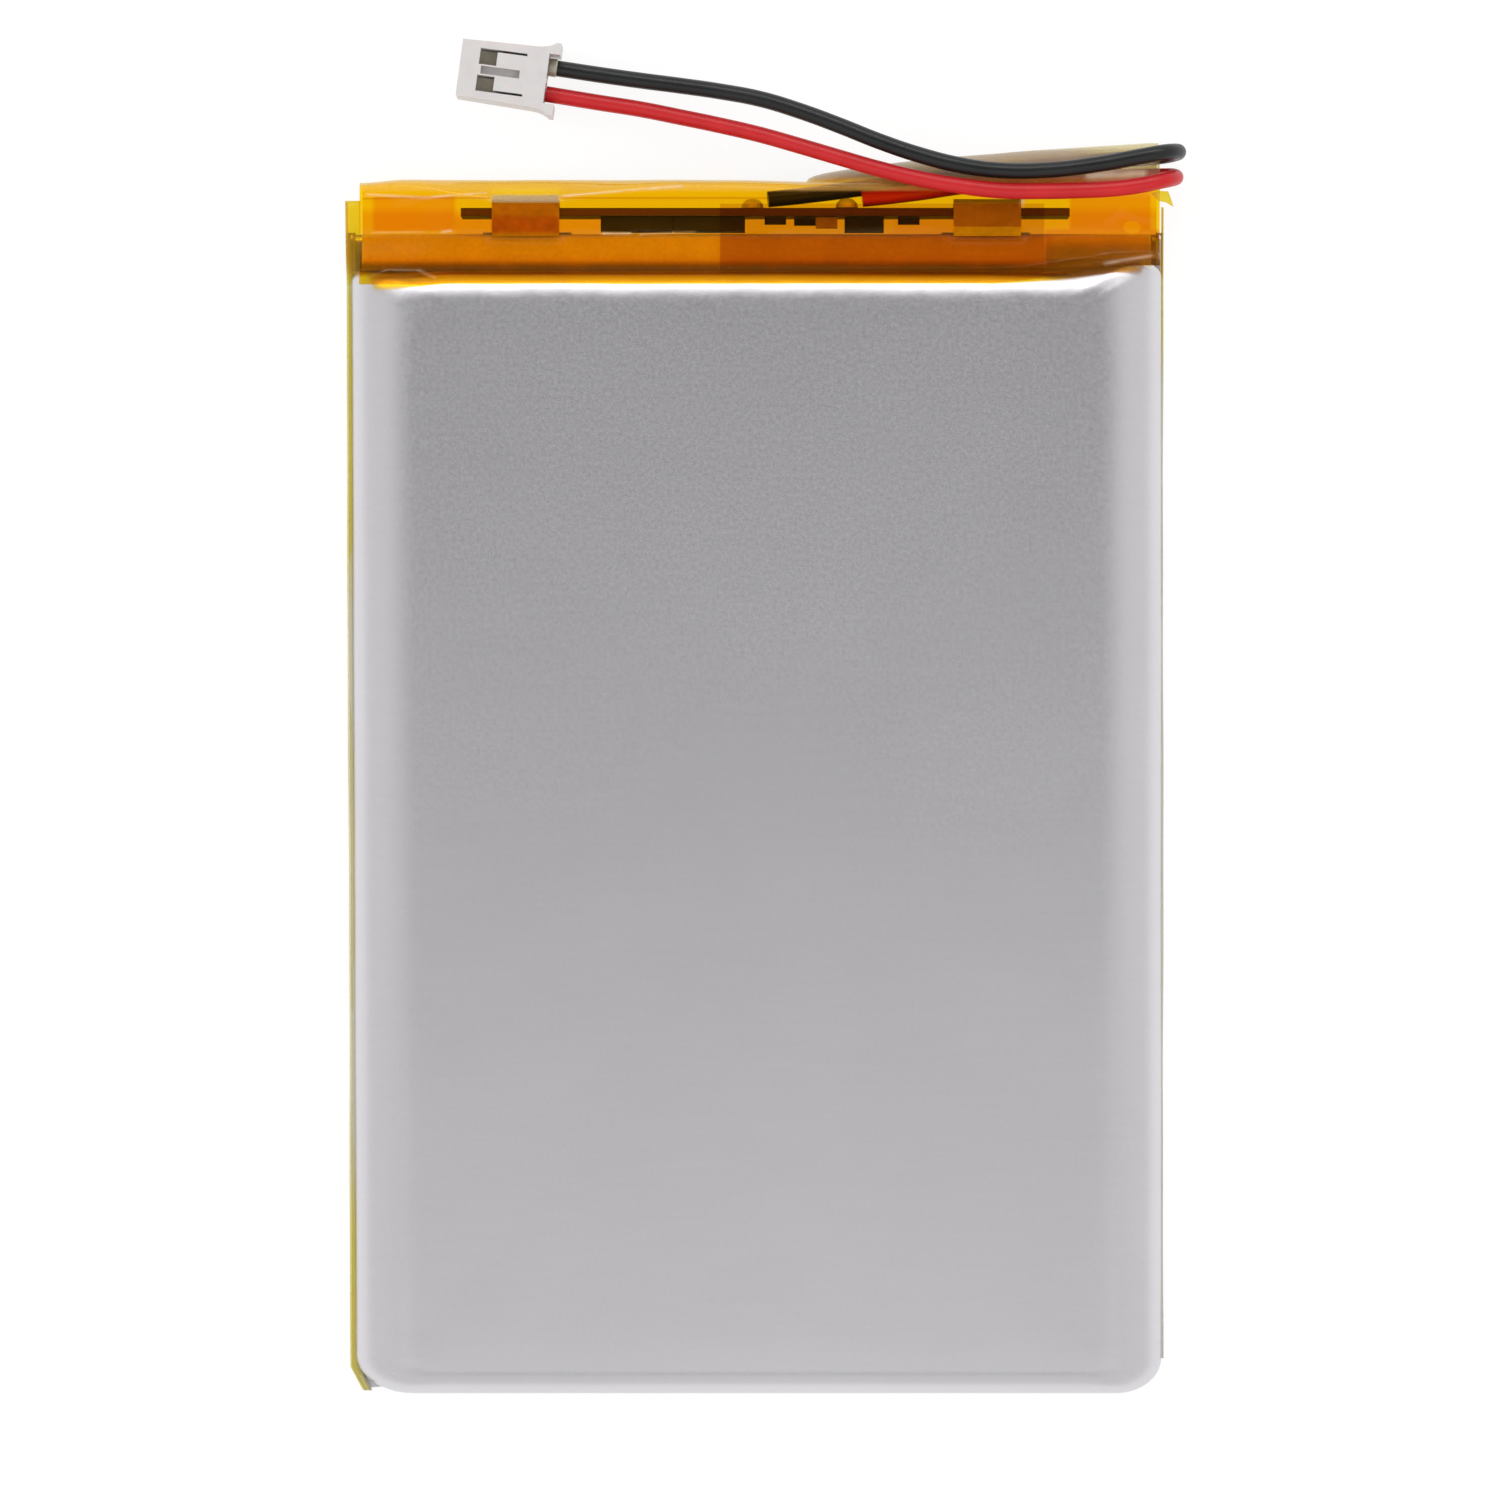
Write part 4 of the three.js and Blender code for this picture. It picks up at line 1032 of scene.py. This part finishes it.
def make_back_sheet(material):
    """The flat back, with the outer layer of the side flaps folded up from its sides."""
    near = np.linspace(0, 1, SHEET_NEAR_ROWS) ** SHEET_CROWDING * SHEET_NEAR
    rows = np.concatenate([near, np.linspace(SHEET_NEAR, 1, SHEET_ROWS)[1:]])
    section = leaf_section(SHEET_Z, LEAF_TOPS[1], OUTER_CURL)
    flat_end = OUTER_LEAF[0] - section[0, 0]
    middle = np.linspace(-1, 1, SHEET_COLUMNS)[1:-1] * flat_end
    bottom = bottom_outline(middle)
    y_left = LEFT_FLAP_START + rows * (FLAP_END - LEFT_FLAP_START)
    y_right = RIGHT_FLAP_START + rows * (FLAP_END - RIGHT_FLAP_START)
    left = leaf_points(0, OUTER_LEAF, y_left, section[::-1], OUTER_TOP_WAVE)
    right = leaf_points(1, OUTER_LEAF, y_right, section, OUTER_TOP_WAVE)
    y_middle = bottom[None, :] + rows[:, None] * (FLAP_END - bottom[None, :])
    pull = (left[:, -1, 0] + flat_end)[:, None] * smooth(PULL_START, flat_end, -middle)[None, :]
    x_middle = middle[None, :] + pull
    sheet = np.dstack([x_middle, y_middle, np.full_like(x_middle, SHEET_Z)])
    points = np.concatenate([left, sheet, right], axis=1)
    low = smooth(*BACK_STEP_Z, points[..., 2])
    points[..., 2] += BACK_STEP * smooth(*BACK_STEP_Y, points[..., 1]) * low
    back = new_sheet("pouch_back_sheet", points, material)
    thicken(back, FILM, 0)
    settle(back, "pouch_laminate", "pouch_back_half")


def make_seal_flange(material):
    """The sealed flange under the board, with a bump over each tab, and the inner flap leaves."""
    across = np.linspace(*FLANGE_X, FLANGE_COLUMNS)
    along = np.linspace(FLANGE_START, FLAP_END, FLANGE_ROWS)
    bumps = sum(smooth(*BUMP_EDGE, np.abs(across - middle)) for middle in TAB_MIDDLES)
    x, y = np.meshgrid(across, along)
    height, long, short = FLANGE_RIPPLE
    z = FLANGE_Z + BUMP_HEIGHT * bumps[None, :] * smooth(*BUMP_Y, y)
    z += height * np.sin(x / long) * np.sin(y / short)
    points = np.dstack([x, y, z])
    pieces = [new_sheet("pouch_seal_flange", points, material)]
    section = leaf_section(FLANGE_Z, LEAF_TOPS[0])
    for side, (name, start) in enumerate((("left", LEFT_FLAP_START), ("right", RIGHT_FLAP_START))):
        y = flap_rows(start, FLAP_END, FLAP_ROWS)
        points = leaf_points(side, INNER_LEAF, y, section, INNER_TOP_WAVE)
        pieces.append(new_sheet(f"pouch_inner_leaf_{name}", points, material))
    for piece in pieces:
        thicken(piece, INNER_FILM, 0)
        settle(piece, "pouch_laminate")


def make_pouch(material):
    cup = make_pouch_front(material)
    thicken(cup, FILM, -1)
    settle(cup, "pouch_laminate", "pouch_front_half")
    make_seal_flange(material)
    make_back_sheet(material)


# Tapes


def curve_through(points, steps):
    """Points on a Catmull-Rom curve through rows of points, with so many steps between two."""
    rows = np.asarray(points, float)
    padded = np.concatenate([rows[:1] * 2 - rows[1:2], rows, rows[-1:] * 2 - rows[-2:-1]])
    made = []
    for i in range(1, len(rows)):
        a, b, c, d = padded[i - 1], padded[i], padded[i + 1], padded[i + 2]
        for step in range(steps):
            t = step / steps
            made.append(
                0.5 * (2 * b + (c - a) * t + (2 * a - 5 * b + 4 * c - d) * t**2
                       + (3 * b - a - 3 * c + d) * t**3)
            )
    made.append(rows[-1])
    return np.array(made)


def tape_section(across):
    """The terrace tape's middle line at each x, as rows of (x, y, z) from the shoulder to the back."""
    bulge = np.sqrt(np.clip((across - BULGE_START) / (BULGE_END - BULGE_START), 0, 1))
    flat = np.array(FLAT_LINE)
    full = np.array(BULGE_LINE)
    lines = flat[:, None, :] + (full - flat)[:, None, :] * bulge[None, :, None]
    rows = curve_through(lines, TAPE_ROW_STEPS)
    wide = np.broadcast_to(across[None, :, None], (*rows.shape[:2], 1))
    return np.concatenate([wide, rows], axis=2)


def past_board(flat):
    """How far the tape and the foam under it droop to the left and the right of the board."""
    return sum(depth * smooth(*place, flat[:, 0]) for place, depth in DROOPS)


def crease_tape(flat):
    """Moves the tape's points into its folds, droops and wrinkles."""
    x, y, z = flat[:, 0], flat[:, 1], flat[:, 2]
    on_top = smooth(*FLAT_TOP, z)
    outside, inside = PLATE_MARGIN
    for plate in ("negative_nickel_plate", "positive_nickel_plate"):
        low, high = (corner.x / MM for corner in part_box(plate))
        over = window(((low - outside, low - inside), (high + outside, high + inside)), x)
        over *= window(PLATE_Y, y) * on_top
        flat[:, 2] += over * np.clip(PLATE_TOP - z, 0, None)
    fold = np.array(FOLD_LINE)
    shift = np.interp(x, fold[:, 0], fold[:, 1]) - FOLD_MIDDLE
    flat[:, 1] += shift * window(FOLD_Y, y) * on_top
    flat[:, 2] -= past_board(flat) * window(DROOP_Y, y) * on_top
    draw = sum(shift * smooth(*across, x) * smooth(*along, y) for across, along, shift in CORNER_DRAWS)
    flat[:, 1] += on_top * draw
    flat[:, 2] += on_top * waviness(flat, TAPE_WAVES)
    for start, end, width, height in TAPE_WRINKLES:
        ridge(flat, start, end, width, height)
    outer_edge = OUTER_EDGE * window(OUTER_EDGE_X, x)
    flat[:, 1] += smooth(*OUTER_EDGE_Y, y) * (outer_edge + waviness(flat, OUTER_WAVES))


def between(low, high, value):
    """A share that is 1 from low to high, with a lap's soft edges."""
    return window(((low - LAP_EDGE, low + LAP_EDGE), (high + LAP_EDGE, high - LAP_EDGE)), value)


def lap_layers(flat):
    """How many layers of tape there are at each point of the upper side."""
    x, y, z = flat[:, 0], flat[:, 1], flat[:, 2]
    layers = np.ones(len(flat))
    for left, right, start, end, added in TAPE_LAPS:
        layers += added * between(left, right, x) * between(start, end, y) * smooth(*UPPER_SIDE, z)
    return layers


def paint_film(piece, layers, layer_tint, haze, milk, gloss=1):
    """Stores each point's tint, for that many layers seen through two faces, its haze, its milk colour and
    its gloss; haze and milk also carry painted shade and highlights.
    """
    tint = np.ones((len(layers), 4))
    tint[:, :3] = np.array(layer_tint)[None, :] ** (np.asarray(layers)[:, None] / 2)
    milk_colour = np.ones((len(layers), 4))
    milk_colour[:, :3] = milk
    milk_colour[:, 3] = gloss
    for name, colour in (("film_tint", tint), ("film_milk_and_painted_light", milk_colour)):
        attribute = piece.data.attributes.new(name, "FLOAT_COLOR", "POINT")
        attribute.data.foreach_set("color", colour.astype(np.float32).ravel())
    milky = piece.data.attributes.new("film_haze_and_painted_light", "FLOAT", "POINT")
    values = np.broadcast_to(np.asarray(haze, float), len(layers))
    milky.data.foreach_set("value", values.astype(np.float32))


def tint_more(piece, layers, layer_tint):
    """Adds layers of another film to a painted one."""
    attribute = piece.data.attributes["film_tint"]
    tint = np.zeros(len(layers) * 4, np.float32)
    attribute.data.foreach_get("color", tint)
    tint = tint.reshape(-1, 4)
    tint[:, :3] *= np.array(layer_tint)[None, :] ** (np.asarray(layers)[:, None] / 2)
    attribute.data.foreach_set("color", tint.ravel())


def crease_glints(flat):
    """How strong the painted highlight along the tape's creases is at each point."""
    white = np.zeros(len(flat))
    for start, end, width, strength in GLINTS:
        white = np.maximum(white, strength * near_line(flat, start, end, width)[0])
    return white * (GLINT_MEAN + waviness(flat, GLINT_WAVES))


def paint_terrace_tape(tape, flat):
    """Tints the tape by its layers, makes it milky or matt where it is, and paints shade and highlights on
    it.
    """
    x, y, z = flat[:, 0], flat[:, 1], flat[:, 2]
    upper = smooth(*UPPER_SIDE, z)
    bulge = smooth(*BULGE_X, x) * smooth(*BULGE_Y, y)
    right = smooth(*BULGE_RIGHT, x)
    # strip and nickel mark painted highlights: paler tint and pale milk on the strip and over the left
    # nickel plate's bend
    strip = smooth(*STRIP_Y, y) * upper * (1 - bulge)
    nickel = window(NICKEL_HIGHLIGHT_X, x) * window(NICKEL_HIGHLIGHT_Y, y) * smooth(*NICKEL_HIGHLIGHT_Z, z)
    # Painted shade: dark milk in the band at the right, and more tint and dark milk in the crease at the
    # shoulder's foot
    shade = SHADE_HAZE * smooth(*SHADE_X, x) * window(SHADE_Y, y) * upper
    crease = window(CREASE_SHADE_Y, y) * upper
    matt = window(MATT_Y, y) * upper
    bend = smooth(*BEND_Z, z) * smooth(*BEND_Y, y)
    # Painted highlights along the creases, laid on as pale milk
    glint = crease_glints(flat) * upper

    layers = lap_layers(flat) - STRIP_LAYERS * strip
    layers -= (BULGE_LAYERS + BULGE_RIGHT_LAYERS * right) * bulge
    layers += CREASE_SHADE_LAYERS * window(CREASE_SHADE_LAYERS_Y, y) * upper
    layers = np.clip(layers - NICKEL_HIGHLIGHT_LAYERS * nickel - BEND_LAYERS * bend, LEAST_LAYERS, None)

    haze = AMBER_HAZE + BULGE_HAZE * bulge * (1 - BULGE_RIGHT_HAZE * right)
    haze += STRIP_HIGHLIGHT_HAZE * strip * (1 - nickel) + NICKEL_HIGHLIGHT_HAZE * nickel
    haze = np.clip(haze + np.maximum(shade, CREASE_SHADE_HAZE * crease) + glint, 0, 1)

    rim = smooth(*RIM_WIDTH, np.max(y) - y) * bulge
    milk = np.broadcast_to(np.array(STRIP_MILK_AND_HIGHLIGHT), flat.shape)
    covers = [
        (np.clip(bulge + nickel, 0, 1), BULGE_AND_NICKEL_HIGHLIGHT_MILK), (rim, RIM_MILK), (shade > 0, SHADE_MILK),
        (crease > 0, CREASE_SHADE_MILK), (np.clip(glint * GLINT_SPREAD, 0, 1), GLINT_HIGHLIGHT_COLOUR),
    ]
    for share, colour in covers:
        milk = lerp(milk, np.array(colour), share[:, None])
    gloss = lerp(1, BEND_GLOSS, bend) * lerp(1, MATT_GLOSS, matt)
    paint_film(tape, layers, AMBER_LAYER, haze, milk, gloss)


def make_terrace_tape(material):
    points = tape_section(np.linspace(TAPE_LEFT, TAPE_RIGHT, TAPE_COLUMNS))
    flat = points.reshape(-1, 3)
    crease_tape(flat)
    tape = new_sheet("terrace_tape_film", points, material)
    paint_terrace_tape(tape, flat)
    thicken(tape, TAPE_THICKNESS, 0)
    settle(tape, "amber_tape", "terrace_tape")


def make_tape_patch(material):
    """The inner patch over the solder joints: the same section as the tape, a little lower."""
    low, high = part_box("lead_tape_patch")
    points = tape_section(np.linspace(low.x / MM, high.x / MM, PATCH_COLUMNS))
    section_y, section_z = points[:, 0, 1], points[:, 0, 2]
    start, end = PATCH_EDGES
    points = points[(section_z > PATCH_LOWEST) & (section_y > start) & (section_y < end)]
    flat = points.reshape(-1, 3)
    flat[:, 2] -= PATCH_DEPTH
    flat[:, 1] += smooth(*PATCH_START, flat[:, 1]) * waviness(flat, PATCH_WAVES)
    patch = new_sheet("lead_tape_patch_film", points, material)
    both_faces = 2
    paint_film(patch, np.full(len(flat), both_faces), PATCH_LAYER, 0, STRIP_MILK_AND_HIGHLIGHT)
    settle(patch, "amber_tape", "lead_tape_patch")


def side_tape_reach(side, y):
    """How far a side tape folds in over the flap's upper edge at each y."""
    reach = TAPE_REACH[side] + sum(width * smooth(*place, y) for width, place in REACH_GAINS[side])
    width, short, long = REACH_WAVE
    return reach + (1 - side) * width * np.sin(y / short) * np.sin(y / long)


def paint_side_tape(tape, flat, side):
    y = flat[:, 1]
    terrace = smooth(*TERRACE_Y, y)
    spot = np.exp(-(((y - SPOT_Y) / SPOT_WIDTH) ** 2))
    middle = window(MIDDLE_Y, y)
    clear = 1 - CLEAR_SHARE * side * smooth(*CLEAR_Y, y)
    layers = SIDE_LAYERS * clear * (1 - MIDDLE_LAYERS * middle) - SPOT_LAYERS * spot
    layers += terrace * (TERRACE_LAYERS + TIP_LAYERS * smooth(*TIP_Y, y))
    haze = SIDE_HAZE * clear * (1 - TERRACE_HAZE * terrace) * (1 - MIDDLE_HAZE * middle)
    paint_film(tape, np.clip(layers, LEAST_LAYERS, None), SIDE_LAYER, haze, SIDE_MILK)
    tint_more(tape, TERRACE_AMBER * terrace, AMBER_LAYER)


def make_side_tape(side, name, start, material):
    """Film from the flap's foot, up its outer side and folded in over its upper edge."""
    sign = (-1, 1)[side]
    y = flap_rows(start, SIDE_TAPE_ENDS[side], SIDE_TAPE_ROWS)
    distance = leaf_distance(side, SIDE_TAPE, y)
    reach = side_tape_reach(side, y)
    height, length = TOP_WAVE
    top = SIDE_TAPE_TOP + height * np.sin(y / length + side)
    top += TERRACE_RISE * smooth(*TERRACE_RISE_Y, y) * (1 - side)
    low = SIDE_TAPE_LOW + FOOT_STEP * smooth(*FOOT_STEP_Y, y)
    sections = []
    for inward, upward, rise in SIDE_TAPE_SECTION:
        x = sign * (distance - reach * inward)
        sections.append(np.column_stack([x, y, lerp(low, top, upward) + rise]))
    points = np.stack(sections, axis=1)
    flat = points.reshape(-1, 3)
    flat[:, 2] += waviness(flat, [(*SIDE_WAVE, SIDE_SEED + side)])
    tape = new_sheet(f"{name}_film", points, material)
    paint_side_tape(tape, flat, side)
    thicken(tape, TAPE_THICKNESS, 0)
    settle(tape, "side_tape", name)


def make_corner_flag(material):
    """The loose corner of the right side tape, bent out over the tape's end."""
    rows = curve_through(FLAG_CORNERS, FLAG_STEPS)
    points = curve_through(rows.transpose(1, 0, 2), FLAG_STEPS)
    flag = new_sheet("side_tape_corner", points, material)
    count = points.shape[0] * points.shape[1]
    paint_film(flag, np.full(count, FLAG_LAYERS), SIDE_LAYER, SIDE_HAZE, SIDE_MILK)
    tint_more(flag, np.full(count, FLAG_AMBER), AMBER_LAYER)
    thicken(flag, TAPE_THICKNESS, 0)
    settle(flag, "side_tape")


def make_tapes():
    amber = film_material("amber_tape", 0.12)
    make_terrace_tape(amber)
    make_tape_patch(amber)
    side = film_material("side_tape", 0.2)
    make_side_tape(0, "left_side_tape", LEFT_FLAP_START, side)
    make_side_tape(1, "right_side_tape", RIGHT_FLAP_START, side)
    make_corner_flag(side)


# The foam


def make_foam():
    """A soft strip, rounded along its upper edges and pressed a little out of true."""
    low, high = (np.array(corner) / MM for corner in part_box("foam_strip"))
    end = high[1] - BOTTOM_EDGE / MM
    angles = np.radians([0, 22.5, 45, 67.5, 90])
    far = [(end - FOAM_ROUND * (1 - math.cos(a)), FOAM_TOP - FOAM_ROUND * (1 - math.sin(a))) for a in angles]
    near = [(FOAM_START + end - y, z) for y, z in reversed(far)]
    top = [(lerp(far[-1][0], near[0][0], share), FOAM_TOP) for share in (0.25, 0.5, 0.75)]
    outer = [(end, z) for z in (low[2], *FOAM_LEVELS)]
    inner = [(FOAM_START, z) for _, z in reversed(outer)]
    section = np.array([*outer, *far, *top, *near, *inner])
    across = np.linspace(low[0] - FOAM_REACH, high[0] + FOAM_REACH, FOAM_COLUMNS)
    points = np.array([[(x, y, z) for y, z in section] for x in across])
    flat = points.reshape(-1, 3)
    upper = smooth(*FOAM_UPPER, flat[:, 2])
    flat[:, 2] += upper * waviness(flat, FOAM_WAVES)
    flat[:, 2] -= upper * past_board(flat) * smooth(*DROOP_Y[0], flat[:, 1])
    flat[:, 1] += waviness(flat, FOAM_SIDE_WAVES) * smooth(*FOAM_LOWER, flat[:, 2])
    material = plain_material(
        "foam", (0.74, 0.68, 0.56), (0.88, 0.82, 0.7), 0.85, 0.95, size=0.3, relief=0.06
    )
    foam = new_tube("foam_pad", points, material)
    settle(foam, "foam", "foam_strip")


# CAD pieces that keep their shape


def dress(frame, names, material, edge=None):
    for name in names:
        node = frame["nodes"][name]
        node.data.materials.clear()
        node.data.materials.append(material)
        if edge:
            round_edges(node, edge)


def make_gap_shade_block(frame):
    """A dark block that fills the slit between the two transistors: painted shade."""
    low, high = (np.array(corner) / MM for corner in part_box("power_transistor_left"))
    far = np.array(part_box("power_transistor_right")[0]) / MM
    xs = (high[0] - GAP_SHADE_REACH, far[0] + GAP_SHADE_REACH)
    ys = (low[1] + GAP_SHADE_REACH - BOTTOM_EDGE / MM, high[1] - GAP_SHADE_SHORT - BOTTOM_EDGE / MM)
    zs = (low[2] + GAP_SHADE_REACH, high[2] - GAP_SHADE_BELOW)
    points = [[(x, y, z) for x, y in zip(np.repeat(xs, 2), (*ys, *ys[::-1]))] for z in zs]
    chip = frame["nodes"]["power_transistor_left"].data.materials[0]
    gap_shade = new_tube("transistor_gap_shade", np.array(points), chip)
    settle(gap_shade, "chip_plastic")


def dress_cad(frame, tinned):
    dress(frame, ["plug_housing"], plug_material(), 0.12)
    dress(frame, ["black_plug_contact", "red_plug_contact"], tinned, 0.08)
    dress(frame, ["positive_tab"], aluminium_material())
    dress(frame, ["circuit_board"], board_material(), 0.05)
    for *look, settings, edge, names in PLAIN_LOOKS:
        dress(frame, names, plain_material(*look, **settings), edge)
    nickel = frame["nodes"]["negative_nickel_plate"].data.materials[0]
    dress(frame, ["negative_tab"], nickel)


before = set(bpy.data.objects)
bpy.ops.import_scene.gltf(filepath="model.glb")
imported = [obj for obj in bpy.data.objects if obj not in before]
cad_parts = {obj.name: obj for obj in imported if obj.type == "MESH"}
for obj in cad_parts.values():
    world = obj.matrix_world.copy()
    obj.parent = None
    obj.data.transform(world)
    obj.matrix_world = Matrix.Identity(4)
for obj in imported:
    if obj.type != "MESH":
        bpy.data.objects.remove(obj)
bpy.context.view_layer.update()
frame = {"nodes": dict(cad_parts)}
BOTTOM_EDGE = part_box("pouch_back_half")[0].y
TAB_MIDDLES = [
    (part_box(tab)[0].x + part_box(tab)[1].x) / 2 / MM for tab in ("negative_tab", "positive_tab")
]

make_camera()
tinned = plain_material("tinned_metal", (0.36, 0.33, 0.25), (0.5, 0.46, 0.36), 0.3, 0.5, Metallic=0.4)
make_leads(tinned)
make_floor()
make_world()
make_lamps()
bpy.context.scene.view_settings.view_transform = "Standard"
make_pouch(laminate_material())
make_foam()
make_tapes()
dress_cad(frame, tinned)
make_gap_shade_block(frame)
